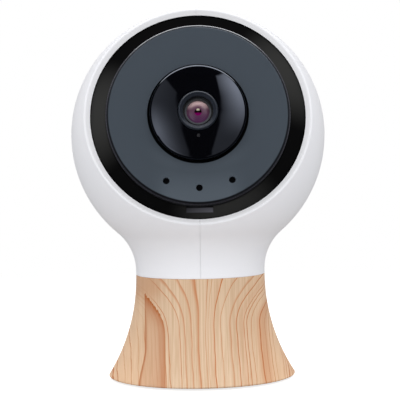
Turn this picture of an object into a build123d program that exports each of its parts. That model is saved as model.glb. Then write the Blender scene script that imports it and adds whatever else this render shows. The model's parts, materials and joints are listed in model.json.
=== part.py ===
from build123d import *

import os
from math import asin, atan2, cos, degrees, hypot, radians, sin, sqrt

os.makedirs("parts", exist_ok=True)

# All sizes are millimetres. The floor is z = 0 under the middle of the foot, and the camera looks along -Y.

# Head: a ball that runs into a neck, moulded in a left and a right half
HEAD_RADIUS = 40.0
HEAD_HEIGHT = 76.5
SHELL_WALL = 2.0
SEAM_GAP = 0.05
TONGUE_REACH = 1.0
TONGUE_WALL = 0.9
TONGUE_FIT = 0.1
TONGUE_SETBACK = 3.0

# Round opening in the head, by the angle from its axis to its edge
OPENING_TILT = 18.0
OPENING_SPREAD = 59.7
LIP_ROUND = 0.5

# Neck, and the spigot under it that goes into the base
WAIST_RADIUS = 20.4
PARTING_HEIGHT = 32.6
NECK_LAND = 1.4
PARTING_ROUND = 0.25
SPIGOT_RADIUS = 16.2
SPIGOT_WALL = 2.0
SPIGOT_FIT = 0.2
NECK_SCREW_COUNT = 4
NECK_SCREW_RING_RADIUS = 13.4
NECK_BOSS_RADIUS = 2.4
LOCK_RING_RADIUS = 18.0
LOCK_RING_BORE = 10.6
LOCK_RING_THICKNESS = 3.0
LOCK_RING_SLACK = 0.2
LOCK_RING_CLEARANCE = 0.1

# Base: a trumpet-flared skirt closed by a plate, with a rubber foot over the plate's screws
BASE_RADIUS = 29.5
BASE_EDGE_HEIGHT = 1.1
BASE_EDGE_ROUND = 0.4
SKIRT_BOTTOM = 0.6
SKIRT_WALL = 2.6
PLATE_INSET = 3.5
PLATE_BOTTOM = 1.0
PLATE_THICKNESS = 3.0
PLATE_FIT = 0.2
BASE_SCREW_COUNT = 4
BASE_BOSS_RADIUS = 2.8
BASE_BOSS_HEIGHT = 8.6
BASE_BOSS_BITE = 2.0
FOOT_INSET = 1.4
FOOT_SEAT = 0.6
FOOT_FIT = 0.1
FOOT_EDGE_ROUND = 0.3
BALLAST_BOSS_GAP = 1.0
BALLAST_THICKNESS = 7.0
BALLAST_CLEARANCE = 0.3

# Inlet board in the back of the base
BOARD_THICKNESS = 1.6
INLET_BOARD_FACE = 14.8
INLET_BOARD_WIDTH = 16.0
INLET_BOARD_GAP = 0.6
RIB_THICKNESS = 1.5
RIB_HEIGHT = 3.4
RIB_FIT = 0.1
SOCKET_HEIGHT = 9.4
SOCKET_WIDTH = 7.6
SOCKET_THICKNESS = 2.9
SOCKET_DEPTH = 5.8
SOCKET_WALL = 0.35
SOCKET_CORNER = 0.8
SOCKET_TONGUE_WIDTH = 5.0
SOCKET_TONGUE_THICKNESS = 0.7
SOCKET_BACK = 1.0
INLET_WIDTH = 13.6
INLET_OPENING = 9.4
INLET_CORNER = 1.8
SURROUND_WALL = 0.8
SURROUND_FIT = 0.1
SURROUND_FLOOR = 1.2
SURROUND_SETBACK = 0.4

# Reset button above the inlet
BUTTON_HEIGHT = 18.0
BUTTON_RADIUS = 2.0
BUTTON_FIT = 0.12
BUTTON_PROUD = 0.4
BUTTON_TRAVEL = 0.5
BUTTON_FLANGE_RADIUS = 2.9
BUTTON_FLANGE_THICKNESS = 1.0
BUTTON_FLANGE_SLACK = 0.2
BUTTON_SEAT_WALL = 1.9
BUTTON_EDGE_ROUND = 0.3
SWITCH_WIDTH = 4.5
SWITCH_PLUNGER_RADIUS = 1.0
SWITCH_PLUNGER_REACH = 0.6
SWITCH_CLEARANCE = 0.1

# Eye: a ball that tilts in the head, cut flat in front and closed by a cover behind
EYE_TILT = 12.5
EYE_CLEARANCE = 0.4
EYE_WALL = 2.0
EYE_RIM_SPREAD = 48.1
EYE_FRONT_WALL = 2.6
EYE_FRONT_HOLE = 11.0
EYE_PARTING = 6.0
EYE_SCREW_COUNT = 4
EYE_BOSS_BITE = 1.0
EYE_BOSS_RADIUS = 2.6
EYE_BOSS_LENGTH = 8.0
COVER_WALL = 1.6
COVER_SHOULDER = 10.0
COVER_SPEAKER_GAP = 6.3
COVER_SLOPE_WIDTH = 9.6
COVER_SEAT = 2.0
COVER_BOSS_DEPTH = 3.4
NOTCH_WIDTH = 8.4
NOTCH_DEPTH = 1.6
NOTCH_UNDERCUT = 0.5
NOTCH_RUN = 2.2
NOTCH_CORNER = 0.9

# Pivots: pins on the shell halves that run in bushes in the eye
PIN_RADIUS = 2.0
PIN_FIT = 0.05
PIN_REACH = 5.5
BUSH_WALL = 1.5
BUSH_LENGTH = 5.8
BUSH_SETBACK = 0.3
PIVOT_BOSS_WALL = 1.6

# Front panel
PANEL_SETBACK = 0.4
PANEL_THICKNESS = 3.5
PANEL_SKIN = 1.6
PANEL_BEVEL_WIDTH = 0.8
PANEL_BEVEL_DEPTH = 1.0
PANEL_EDGE_ROUND = 0.5
PANEL_RIM_WIDTH = 2.1
PANEL_HUB_WIDTH = 2.1
PANEL_GROOVE = 0.75
PANEL_HOLE_COUNT = 3
PANEL_HOLE_INSET = 5.1
PANEL_HOLE_RADIUS = 1.0
PANEL_HOLE_SPREAD = 25.7

# Lens bezel: a shallow dome that stands out of the panel
BEZEL_RADIUS = 14.4
BEZEL_RIM_RISE = 2.5
BEZEL_CROWN_RISE = 4.1
BEZEL_WALL = 1.4
BEZEL_EDGE_ROUND = 0.8
BEZEL_LENS_FIT = 0.2

# Lens, in distances along the eye's axis from the middle of the head
LENS_RING_RADIUS = 5.95
LENS_RING_BORE = 4.5
LENS_RING_LENGTH = 2.3
LENS_RING_CHAMFER = 0.35
LENS_RING_RIM = 0.55
LENS_RING_DISH = 0.9
LENS_RING_RISE = 4.3
BARREL_RADIUS = 5.75
BARREL_LENGTH = 15.0
BARREL_BORE = 3.6
BARREL_END_BORE = 2.6
BARREL_END_LENGTH = 3.0
LENS_POCKET_DEPTH = 2.2
FRONT_LENS_EDGE = 0.7
FRONT_LENS_SAG = 1.3
LENS_FIT = 0.1
RETAINER_BORE = 3.45
RETAINER_THICKNESS = 0.8
RETAINER_LIP_WIDTH = 0.45
RETAINER_LIP_RISE = 0.3
INNER_LENS_THICKNESS = 2.4
INNER_LENS_EDGE = 1.2
SPACER_WALL = 0.6

# Lens holder on the main board
HOLDER_WIDTH = 16.0
HOLDER_EAR_SPAN = 25.0
HOLDER_EAR_WIDTH = 6.0
HOLDER_BASE_THICKNESS = 3.0
HOLDER_TUBE_RADIUS = 7.6
HOLDER_CHAMBER_WIDTH = 10.0
HOLDER_CHAMBER_DEPTH = 2.0
HOLDER_WINDOW_RADIUS = 2.8
HOLDER_LENS_DEPTH = 5.0
HOLDER_SCREW_COUNT = 2
HOLDER_SCREW_OFFSET = 9.5
FILTER_WIDTH = 7.4
FILTER_THICKNESS = 0.4
SENSOR_WIDTH = 8.4
SENSOR_HEIGHT = 7.6
SENSOR_THICKNESS = 1.0

# Main board and what it carries
BOARD_INSET = 3.6
BOARD_SETBACK = 10.9
BOARD_SCREW_COUNT = 4
BOARD_SCREW_INSET = 3.0
POST_RADIUS = 2.4
SHIELD_WIDTH = 14.0
SHIELD_THICKNESS = 2.2
SHIELD_OFFSET = 3.0
SHIELD_CORNER = 0.6
WIRELESS_WIDTH = 12.0
WIRELESS_HEIGHT = 8.0
WIRELESS_THICKNESS = 2.0
WIRELESS_OFFSET = -13.0
ANTENNA_WIDTH = 18.0
ANTENNA_HEIGHT = 6.0
ANTENNA_THICKNESS = 0.4
ANTENNA_OFFSET = 14.0
STATUS_LIGHT_WIDTH = 1.6
STATUS_LIGHT_HEIGHT = 1.2
STATUS_LIGHT_THICKNESS = 0.7
PIPE_FIT = 0.05
PIPE_FLANGE_RADIUS = 1.8
PIPE_FLANGE_THICKNESS = 1.0
PIPE_RECESS = 0.3
PIPE_GAP = 0.3
MICROPHONE_COUNT = 2
MICROPHONE_RADIUS = 2.0
MICROPHONE_THICKNESS = 1.3
SEAL_WALL = 0.8

# Sensor board behind the bezel
SENSOR_BOARD_RADIUS = 12.8
SENSOR_BOARD_BORE = 6.6
SENSOR_BOARD_THICKNESS = 1.0
INFRARED_COUNT = 6
INFRARED_RING_RADIUS = 10.0
INFRARED_RADIUS = 1.5
INFRARED_HEIGHT = 2.6
LIGHT_SENSOR_OFFSET = 7.5
LIGHT_SENSOR_WIDTH = 1.6
LIGHT_SENSOR_THICKNESS = 0.8
LIGHT_GUIDE_RADIUS = 0.5
LIGHT_GUIDE_FIT = 0.05
LIGHT_GUIDE_RECESS = 0.15

# Grommet where the wires leave the eye
GROMMET_OFFSET = -10.0
GROMMET_RADIUS = 4.0
GROMMET_BORE = 2.4
GROMMET_FLANGE_RADIUS = 5.4
GROMMET_FLANGE_THICKNESS = 0.9

# Speaker behind the grille in the back of the head
SPEAKER_RADIUS = 14.0
SPEAKER_SETBACK = 4.5
SPEAKER_FLANGE = 2.0
SPEAKER_BASKET_DEPTH = 6.5
SPEAKER_BASKET_RADIUS = 10.0
SPEAKER_WALL = 1.0
MAGNET_RADIUS = 8.0
MAGNET_THICKNESS = 3.2
MAGNET_CHAMFER = 0.5
CONE_RADIUS = 12.4
CONE_NECK_RADIUS = 4.0
CONE_DEPTH = 3.4
CONE_THICKNESS = 0.5
GASKET_WIDTH = 2.4
GASKET_FIT = 0.1
CLAMP_RADIUS = 15.0
CLAMP_BORE = 12.2
CLAMP_THICKNESS = 1.6
CLAMP_SCREW_COUNT = 2
CLAMP_SCREW_OFFSET = 17.0
CLAMP_EAR_RADIUS = 2.3
GRILLE_RINGS = 3
GRILLE_RING_STEP = 2.6
GRILLE_HOLE_RADIUS = 0.6
GRILLE_HOLES_PER_RING = 4

# Screws: small for the eye and the speaker, large for the neck and the base
SMALL_SCREW_RADIUS = 1.0
SMALL_HEAD_RADIUS = 1.8
SMALL_HEAD_HEIGHT = 1.3
LARGE_SCREW_RADIUS = 1.2
LARGE_HEAD_RADIUS = 2.0
LARGE_HEAD_HEIGHT = 1.3
SCREW_FIT = 0.05
HEAD_FIT = 0.2
SMALL_SCREW_LENGTH = 6.0
SPEAKER_SCREW_LENGTH = 3.2
LARGE_SCREW_LENGTH = 7.0
DIAGONAL = 45.0

head_centre = Vector(0, 0, HEAD_HEIGHT)


def facing(tilt):
    """Plane through the middle of the head, square to a line that looks forward and up by a tilt."""
    return Plane(head_centre, x_dir=(1, 0, 0), z_dir=Vector(0, -1, 0).rotate(Axis.X, -tilt))


def section_of(plane):
    """Plane along the axis of another plane, with that axis upright in it."""
    return Plane(plane.origin, x_dir=plane.x_dir, z_dir=-plane.y_dir)


def axis_of(plane):
    """Axis that stands on a plane at its origin."""
    return Axis(plane.origin, plane.z_dir)


def side_plane(side, distance):
    """Plane square to X on one side of the head, facing outwards."""
    return Plane((side * distance, 0, HEAD_HEIGHT), x_dir=(0, 1, 0), z_dir=(side, 0, 0))


def back_plane(depth, height):
    """Plane square to Y, facing backwards."""
    return Plane((0, depth, height), x_dir=(1, 0, 0), z_dir=(0, 1, 0))


def latitude(ball, height):
    """Angle at which a circle about the origin reaches a height."""
    return degrees(asin(height / ball))


def ball_radius_at(ball, height):
    """Radius of a ball where a plane cuts it at a height."""
    return sqrt(ball**2 - height**2)


shell_bore = HEAD_RADIUS - SHELL_WALL
opening = facing(OPENING_TILT)
opening_spread = radians(OPENING_SPREAD)
eye_radius = shell_bore - EYE_CLEARANCE
eye = facing(EYE_TILT)
eye_section = section_of(eye)
eye_axis = axis_of(eye)

# Outline of the head and neck: the neck's arc is tangent to the waist and to the ball
ring_bottom = BUTTON_HEIGHT + BUTTON_FLANGE_RADIUS + BUTTON_FLANGE_SLACK + LOCK_RING_CLEARANCE
ledge_height = ring_bottom + LOCK_RING_THICKNESS
spigot_bottom = ledge_height + LOCK_RING_SLACK
neck_height = PARTING_HEIGHT + NECK_LAND
neck_rise = HEAD_HEIGHT - neck_height
neck_round = (WAIST_RADIUS**2 + neck_rise**2 - HEAD_RADIUS**2) / (2 * (HEAD_RADIUS - WAIST_RADIUS))
neck_centre = (WAIST_RADIUS + neck_round, neck_height)
neck_turn = degrees(atan2(neck_rise, neck_centre[0]))
spigot_bore = SPIGOT_RADIUS - SPIGOT_WALL

# Outline of the skirt: one arc, upright at the parting line and widest at the foot
plate_top = PLATE_BOTTOM + PLATE_THICKNESS
flare_drop = PARTING_HEIGHT - BASE_EDGE_HEIGHT
flare_spread = BASE_RADIUS - WAIST_RADIUS
flare_round = (flare_spread**2 + flare_drop**2) / (2 * flare_spread)
flare_centre = (WAIST_RADIUS + flare_round, PARTING_HEIGHT)


def skirt_radius(height, inset=0.0):
    """Radius of the skirt's outside at a height, or of a surface set in from it."""
    return flare_centre[0] - sqrt((flare_round + inset) ** 2 - (PARTING_HEIGHT - height) ** 2)


def shell_arcs(inset):
    """Neck and head arcs of the shell's outline, set in from the outside."""
    neck = CenterArc(neck_centre, neck_round + inset, 180, -neck_turn)
    head = CenterArc((0, HEAD_HEIGHT), HEAD_RADIUS - inset, -neck_turn, 90 + neck_turn)
    return neck, head


def cut_opening(extra_spread):
    """Cuts the round opening as a cone from the middle of the head."""
    spread = opening_spread + extra_spread
    reach = 2 * HEAD_RADIUS
    with BuildSketch(section_of(opening)) as cone:
        with BuildLine():
            Polyline((0, 0), (reach * sin(spread), reach * cos(spread)), (0, reach), close=True)
        make_face()
    revolve(cone.sketch, axis=axis_of(opening), mode=Mode.SUBTRACT)


def seam_tongue(wall, start, reach):
    """Band along the inside of the seam, from one distance across it to another."""
    with BuildPart() as tongue:
        with BuildSketch(Plane.XZ):
            with BuildLine():
                outer_neck, outer_head = shell_arcs(SHELL_WALL - wall)
                inner_neck, inner_head = shell_arcs(SHELL_WALL)
                Line(outer_head @ 1, inner_head @ 1)
                Line(outer_neck @ 0, inner_neck @ 0)
            make_face()
        revolve(axis=Axis.Z)
        cut_opening(radians(TONGUE_SETBACK))
        split(bisect_by=Plane.YZ.offset(start), keep=Keep.TOP)
        split(bisect_by=Plane.YZ.offset(reach), keep=Keep.BOTTOM)
    return tongue.part


def screws(plane, pitch, count, start, head_radius, head_height, screw_radius, length):
    """Ring of screws whose heads rest on a plane from outside and whose shanks go into it."""
    with BuildSketch(plane) as heads:
        with PolarLocations(pitch, count, start_angle=start):
            Circle(head_radius)
    extrude(heads.sketch, amount=head_height)
    with BuildSketch(plane) as shanks:
        with PolarLocations(pitch, count, start_angle=start):
            Circle(screw_radius)
    extrude(shanks.sketch, amount=-length)


# Shell: the whole turned form with its opening, pins, bosses and grille
speaker_face = shell_bore - SPEAKER_SETBACK
speaker_back = speaker_face - SPEAKER_FLANGE
basket_back = speaker_back - SPEAKER_BASKET_DEPTH
magnet_back = basket_back - MAGNET_THICKNESS
clamp_boss_end = ball_radius_at(shell_bore, CLAMP_SCREW_OFFSET) + SHELL_WALL / 2
with BuildPart() as shell:
    with BuildSketch(Plane.XZ):
        with BuildLine():
            outer_neck, outer_head = shell_arcs(0)
            inner_neck, inner_head = shell_arcs(SHELL_WALL)
            Line(outer_head @ 1, inner_head @ 1)
            Polyline(
                inner_neck @ 0,
                (spigot_bore, neck_height),
                (spigot_bore, spigot_bottom),
                (SPIGOT_RADIUS, spigot_bottom),
                (SPIGOT_RADIUS, PARTING_HEIGHT),
                (WAIST_RADIUS, PARTING_HEIGHT),
                outer_neck @ 0,
            )
        make_face()
    revolve(axis=Axis.Z)
    neck_edge = shell.edges().filter_by(GeomType.CIRCLE).filter_by_position(
        Axis.Z, PARTING_HEIGHT, PARTING_HEIGHT
    )
    fillet(neck_edge.sort_by(SortBy.RADIUS)[-1], PARTING_ROUND)
    cut_opening(0)
    lip_radius = HEAD_RADIUS * sin(opening_spread)
    circles = shell.edges().filter_by(GeomType.CIRCLE)
    fillet(circles.group_by(lambda edge: abs(edge.radius - lip_radius))[0], LIP_ROUND)
    with BuildSketch(Plane.XY.offset(spigot_bottom)):
        with PolarLocations(NECK_SCREW_RING_RADIUS, NECK_SCREW_COUNT, start_angle=DIAGONAL):
            Circle(NECK_BOSS_RADIUS)
    extrude(amount=neck_height - spigot_bottom)
    with BuildSketch(Plane.XY.offset(spigot_bottom)):
        with PolarLocations(NECK_SCREW_RING_RADIUS, NECK_SCREW_COUNT, start_angle=DIAGONAL):
            Circle(LARGE_SCREW_RADIUS + SCREW_FIT)
    extrude(amount=LARGE_SCREW_LENGTH, mode=Mode.SUBTRACT)
    for side in (1, -1):
        with BuildSketch(side_plane(side, shell_bore - PIN_REACH)):
            Circle(PIN_RADIUS)
        extrude(amount=PIN_REACH + SHELL_WALL / 2)
    with BuildSketch(back_plane(speaker_back, HEAD_HEIGHT)):
        with PolarLocations(CLAMP_SCREW_OFFSET, CLAMP_SCREW_COUNT):
            Circle(CLAMP_EAR_RADIUS)
    extrude(amount=clamp_boss_end - speaker_back)
    with BuildSketch(back_plane(speaker_back, HEAD_HEIGHT)):
        with PolarLocations(CLAMP_SCREW_OFFSET, CLAMP_SCREW_COUNT):
            Circle(SMALL_SCREW_RADIUS + SCREW_FIT)
    extrude(amount=SPEAKER_SCREW_LENGTH - CLAMP_THICKNESS, mode=Mode.SUBTRACT)
    with BuildSketch(back_plane(speaker_face, HEAD_HEIGHT)):
        for ring in range(1, GRILLE_RINGS + 1):
            holes = GRILLE_HOLES_PER_RING * ring
            with PolarLocations(GRILLE_RING_STEP * ring, holes, start_angle=180 / holes):
                Circle(GRILLE_HOLE_RADIUS)
    extrude(amount=HEAD_RADIUS, mode=Mode.SUBTRACT)

with BuildPart() as shell_left:
    add(shell.part)
    split(bisect_by=Plane.YZ.offset(-SEAM_GAP / 2), keep=Keep.BOTTOM)
    add(seam_tongue(TONGUE_WALL, -TONGUE_REACH, TONGUE_REACH))
shell_left.part.label = "shell_left"
export_step(shell_left.part, "parts/shell_left.step")

with BuildPart() as shell_right:
    add(shell.part)
    split(bisect_by=Plane.YZ.offset(SEAM_GAP / 2), keep=Keep.TOP)
    add(seam_tongue(TONGUE_WALL + TONGUE_FIT, 0, TONGUE_REACH + TONGUE_FIT), mode=Mode.SUBTRACT)
shell_right.part.label = "shell_right"
export_step(shell_right.part, "parts/shell_right.step")

# Base skirt: the flared outside, a collar round the spigot and a rebate for the plate
collar_bore = SPIGOT_RADIUS + SPIGOT_FIT
plate_radius = BASE_RADIUS - PLATE_INSET
rebate_radius = plate_radius + PLATE_FIT
inner_round = flare_round + SKIRT_WALL
boss_top = plate_top + BASE_BOSS_HEIGHT
base_screw_ring = skirt_radius(boss_top, SKIRT_WALL) + BASE_BOSS_BITE - BASE_BOSS_RADIUS
button_seat = skirt_radius(BUTTON_HEIGHT) - BUTTON_SEAT_WALL
with BuildPart() as base_skirt:
    with BuildSketch(Plane.XZ):
        with BuildLine():
            outside = CenterArc(flare_centre, flare_round, 180, latitude(flare_round, flare_drop))
            inside_start = latitude(inner_round, PARTING_HEIGHT - ledge_height)
            inside_end = latitude(inner_round, PARTING_HEIGHT - plate_top)
            inside = CenterArc(flare_centre, inner_round, 180 + inside_start, inside_end - inside_start)
            Polyline(
                outside @ 1,
                (BASE_RADIUS, SKIRT_BOTTOM),
                (rebate_radius, SKIRT_BOTTOM),
                (rebate_radius, plate_top),
                inside @ 1,
            )
            Polyline(
                inside @ 0,
                (collar_bore, ledge_height),
                (collar_bore, PARTING_HEIGHT),
                outside @ 0,
            )
        make_face()
    revolve(axis=Axis.Z)
    rings = base_skirt.edges().filter_by(GeomType.CIRCLE).group_by(Axis.Z)
    fillet(rings[0].sort_by(SortBy.RADIUS)[-1], BASE_EDGE_ROUND)
    rings = base_skirt.edges().filter_by(GeomType.CIRCLE).group_by(Axis.Z)
    fillet(rings[-1].sort_by(SortBy.RADIUS)[-1], PARTING_ROUND)
    with BuildSketch(Plane.XY.offset(plate_top)):
        with PolarLocations(base_screw_ring, BASE_SCREW_COUNT, start_angle=DIAGONAL):
            Circle(BASE_BOSS_RADIUS)
    extrude(amount=BASE_BOSS_HEIGHT)
    with BuildSketch(Plane.XY.offset(plate_top)):
        with PolarLocations(base_screw_ring, BASE_SCREW_COUNT, start_angle=DIAGONAL):
            Circle(LARGE_SCREW_RADIUS + SCREW_FIT)
    extrude(amount=LARGE_SCREW_LENGTH, mode=Mode.SUBTRACT)
    with BuildSketch(back_plane(INLET_BOARD_FACE, SOCKET_HEIGHT)):
        RectangleRounded(INLET_WIDTH, INLET_OPENING, INLET_CORNER)
    extrude(amount=BASE_RADIUS, mode=Mode.SUBTRACT)
    with BuildSketch(back_plane(INLET_BOARD_FACE, BUTTON_HEIGHT)):
        Circle(BUTTON_FLANGE_RADIUS + BUTTON_FLANGE_SLACK)
    extrude(amount=button_seat - INLET_BOARD_FACE, mode=Mode.SUBTRACT)
    with BuildSketch(back_plane(INLET_BOARD_FACE, BUTTON_HEIGHT)):
        Circle(BUTTON_RADIUS + BUTTON_FIT)
    extrude(amount=BASE_RADIUS, mode=Mode.SUBTRACT)
base_skirt.part.label = "base_skirt"
export_step(base_skirt.part, "parts/base_skirt.step")

# Lock ring under the skirt's ledge, pulled up by screws into the spigot
with BuildPart() as neck_lock_ring:
    with BuildSketch(Plane.XY.offset(ring_bottom)):
        Circle(LOCK_RING_RADIUS)
        Circle(LOCK_RING_BORE, mode=Mode.SUBTRACT)
        with PolarLocations(NECK_SCREW_RING_RADIUS, NECK_SCREW_COUNT, start_angle=DIAGONAL):
            Circle(LARGE_SCREW_RADIUS + SCREW_FIT, mode=Mode.SUBTRACT)
    extrude(amount=LOCK_RING_THICKNESS)
neck_lock_ring.part.label = "neck_lock_ring"
export_step(neck_lock_ring.part, "parts/neck_lock_ring.step")

under_ring = Plane((0, 0, ring_bottom), x_dir=(1, 0, 0), z_dir=(0, 0, -1))
with BuildPart() as neck_screws:
    screws(
        under_ring, NECK_SCREW_RING_RADIUS, NECK_SCREW_COUNT, DIAGONAL,
        LARGE_HEAD_RADIUS, LARGE_HEAD_HEIGHT, LARGE_SCREW_RADIUS, LARGE_SCREW_LENGTH,
    )
neck_screws.part.label = "neck_screws"
export_step(neck_screws.part, "parts/neck_screws.step")

# Base plate: counterbored for its screws, recessed for the foot, with two ribs that hold the inlet board
foot_radius = plate_radius - FOOT_INSET
foot_top = PLATE_BOTTOM + FOOT_SEAT
head_seat = foot_top + LARGE_HEAD_HEIGHT
inlet_board_back = INLET_BOARD_FACE - BOARD_THICKNESS
rib_offsets = (inlet_board_back - RIB_FIT - RIB_THICKNESS / 2, INLET_BOARD_FACE + RIB_FIT + RIB_THICKNESS / 2)
with BuildPart() as base_plate:
    with BuildSketch(Plane.XY.offset(PLATE_BOTTOM)):
        Circle(plate_radius)
        with PolarLocations(base_screw_ring, BASE_SCREW_COUNT, start_angle=DIAGONAL):
            Circle(LARGE_SCREW_RADIUS + SCREW_FIT, mode=Mode.SUBTRACT)
    extrude(amount=PLATE_THICKNESS)
    with BuildSketch(Plane.XY.offset(PLATE_BOTTOM)):
        with PolarLocations(base_screw_ring, BASE_SCREW_COUNT, start_angle=DIAGONAL):
            Circle(LARGE_HEAD_RADIUS + HEAD_FIT)
    extrude(amount=head_seat - PLATE_BOTTOM, mode=Mode.SUBTRACT)
    with BuildSketch(Plane.XY.offset(PLATE_BOTTOM)):
        Circle(foot_radius + FOOT_FIT)
    extrude(amount=FOOT_SEAT, mode=Mode.SUBTRACT)
    with BuildSketch(Plane.XY.offset(plate_top)):
        for rib_offset in rib_offsets:
            with Locations((0, rib_offset)):
                Rectangle(INLET_BOARD_WIDTH, RIB_THICKNESS)
    extrude(amount=RIB_HEIGHT)
base_plate.part.label = "base_plate"
export_step(base_plate.part, "parts/base_plate.step")

under_plate = Plane((0, 0, head_seat), x_dir=(1, 0, 0), z_dir=(0, 0, -1))
with BuildPart() as base_screws:
    screws(
        under_plate, base_screw_ring, BASE_SCREW_COUNT, DIAGONAL,
        LARGE_HEAD_RADIUS, LARGE_HEAD_HEIGHT, LARGE_SCREW_RADIUS, LARGE_SCREW_LENGTH,
    )
base_screws.part.label = "base_screws"
export_step(base_screws.part, "parts/base_screws.step")

with BuildPart() as foot_pad:
    with BuildSketch(Plane.XY):
        Circle(foot_radius)
    extrude(amount=foot_top)
    fillet(foot_pad.faces().sort_by(Axis.Z)[0].edges(), FOOT_EDGE_ROUND)
foot_pad.part.label = "foot_pad"
export_step(foot_pad.part, "parts/foot_pad.step")

ballast_radius = base_screw_ring - BASE_BOSS_RADIUS - BALLAST_BOSS_GAP
ballast_flat = rib_offsets[0] - RIB_THICKNESS / 2 - BALLAST_CLEARANCE
with BuildPart() as ballast:
    with BuildSketch(Plane.XY.offset(plate_top)):
        Circle(ballast_radius)
        with Locations((0, ballast_flat)):
            Rectangle(2 * ballast_radius, ballast_radius, align=(Align.CENTER, Align.MIN), mode=Mode.SUBTRACT)
    extrude(amount=BALLAST_THICKNESS)
ballast.part.label = "ballast"
export_step(ballast.part, "parts/ballast.step")

# Inlet board, standing between the ribs, with the power socket and the reset switch on its back face
with BuildPart() as inlet_board:
    with BuildSketch(Plane.XY.offset(plate_top)):
        with Locations((0, INLET_BOARD_FACE - BOARD_THICKNESS / 2)):
            Rectangle(INLET_BOARD_WIDTH, BOARD_THICKNESS)
    extrude(amount=ring_bottom - INLET_BOARD_GAP - plate_top)
inlet_board.part.label = "inlet_board"
export_step(inlet_board.part, "parts/inlet_board.step")

with BuildPart() as power_socket:
    with BuildSketch(back_plane(INLET_BOARD_FACE, SOCKET_HEIGHT)):
        RectangleRounded(SOCKET_WIDTH, SOCKET_THICKNESS, SOCKET_CORNER)
    extrude(amount=SOCKET_DEPTH)
    with BuildSketch(back_plane(INLET_BOARD_FACE + SOCKET_BACK, SOCKET_HEIGHT)):
        RectangleRounded(
            SOCKET_WIDTH - 2 * SOCKET_WALL, SOCKET_THICKNESS - 2 * SOCKET_WALL, SOCKET_CORNER - SOCKET_WALL
        )
        Rectangle(SOCKET_TONGUE_WIDTH, SOCKET_TONGUE_THICKNESS, mode=Mode.SUBTRACT)
    extrude(amount=SOCKET_DEPTH, mode=Mode.SUBTRACT)
power_socket.part.label = "power_socket"
export_step(power_socket.part, "parts/power_socket.step")

# Inlet surround: a tray in the skirt's cut-out, with a hole for the socket and a rim that follows the skirt
surround_floor = INLET_BOARD_FACE + SOCKET_DEPTH - SURROUND_SETBACK
surround_width = INLET_WIDTH - 2 * SURROUND_FIT
surround_height = INLET_OPENING - 2 * SURROUND_FIT
with BuildPart() as inlet_surround:
    with BuildSketch(Plane.XZ):
        with BuildLine():
            rim_round = flare_round + SURROUND_FIT
            rim_turn = latitude(rim_round, flare_drop)
            rim = CenterArc(flare_centre, rim_round, 180, rim_turn)
            Polyline(rim @ 1, (0, BASE_EDGE_HEIGHT), (0, PARTING_HEIGHT), rim @ 0)
        make_face()
    revolve(axis=Axis.Z)
    with BuildSketch(back_plane(surround_floor - SURROUND_FLOOR, SOCKET_HEIGHT)):
        RectangleRounded(surround_width, surround_height, INLET_CORNER - SURROUND_FIT)
    extrude(amount=BASE_RADIUS, mode=Mode.INTERSECT)
    with BuildSketch(back_plane(surround_floor, SOCKET_HEIGHT)):
        RectangleRounded(
            surround_width - 2 * SURROUND_WALL,
            surround_height - 2 * SURROUND_WALL,
            INLET_CORNER - SURROUND_FIT - SURROUND_WALL,
        )
    extrude(amount=BASE_RADIUS, mode=Mode.SUBTRACT)
    with BuildSketch(back_plane(INLET_BOARD_FACE, SOCKET_HEIGHT)):
        RectangleRounded(SOCKET_WIDTH + 2 * SURROUND_FIT, SOCKET_THICKNESS + 2 * SURROUND_FIT, SOCKET_CORNER)
    extrude(amount=BASE_RADIUS, mode=Mode.SUBTRACT)
inlet_surround.part.label = "inlet_surround"
export_step(inlet_surround.part, "parts/inlet_surround.step")

flange_face = button_seat - BUTTON_FLANGE_SLACK
flange_back = flange_face - BUTTON_FLANGE_THICKNESS
plunger_end = flange_back - BUTTON_TRAVEL - SWITCH_CLEARANCE
with BuildPart() as reset_switch:
    with BuildSketch(back_plane(INLET_BOARD_FACE, BUTTON_HEIGHT)):
        Rectangle(SWITCH_WIDTH, SWITCH_WIDTH)
    extrude(amount=plunger_end - SWITCH_PLUNGER_REACH - INLET_BOARD_FACE)
    with BuildSketch(back_plane(INLET_BOARD_FACE, BUTTON_HEIGHT)):
        Circle(SWITCH_PLUNGER_RADIUS)
    extrude(amount=plunger_end - INLET_BOARD_FACE)
reset_switch.part.label = "reset_switch"
export_step(reset_switch.part, "parts/reset_switch.step")

with BuildPart() as reset_button:
    with BuildSketch(back_plane(flange_back, BUTTON_HEIGHT)):
        Circle(BUTTON_FLANGE_RADIUS)
    extrude(amount=BUTTON_FLANGE_THICKNESS)
    with BuildSketch(back_plane(flange_back, BUTTON_HEIGHT)):
        Circle(BUTTON_RADIUS)
    extrude(amount=skirt_radius(BUTTON_HEIGHT) + BUTTON_PROUD - flange_back)
    fillet(reset_button.faces().sort_by(Axis.Y)[-1].edges(), BUTTON_EDGE_ROUND)
reset_button.part.label = "reset_button"
export_step(reset_button.part, "parts/reset_button.step")

# Eye shell: a zone of a ball with a flat front wall, a finger notch, posts for the board and bosses
eye_rim_radius = eye_radius * sin(radians(EYE_RIM_SPREAD))
rim_depth = ball_radius_at(eye_radius, eye_rim_radius)
wall_back = rim_depth - EYE_FRONT_WALL
panel_radius = eye_rim_radius - PANEL_SETBACK
panel_hole_ring = panel_radius - PANEL_HOLE_INSET
board_radius = panel_radius - BOARD_INSET
board_screw_ring = board_radius - BOARD_SCREW_INSET
eye_bore = eye_radius - EYE_WALL
eye_screw_ring = ball_radius_at(eye_bore, EYE_PARTING) + EYE_BOSS_BITE - EYE_BOSS_RADIUS
board_back = wall_back - BOARD_SETBACK - BOARD_THICKNESS
board_front = board_back + BOARD_THICKNESS
bush_radius = PIN_RADIUS + PIN_FIT + BUSH_WALL
bush_end = ball_radius_at(eye_radius, bush_radius) - BUSH_SETBACK
bush_start = bush_end - BUSH_LENGTH
notch_top = panel_radius - NOTCH_UNDERCUT
notch_reach = panel_radius + NOTCH_RUN
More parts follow.
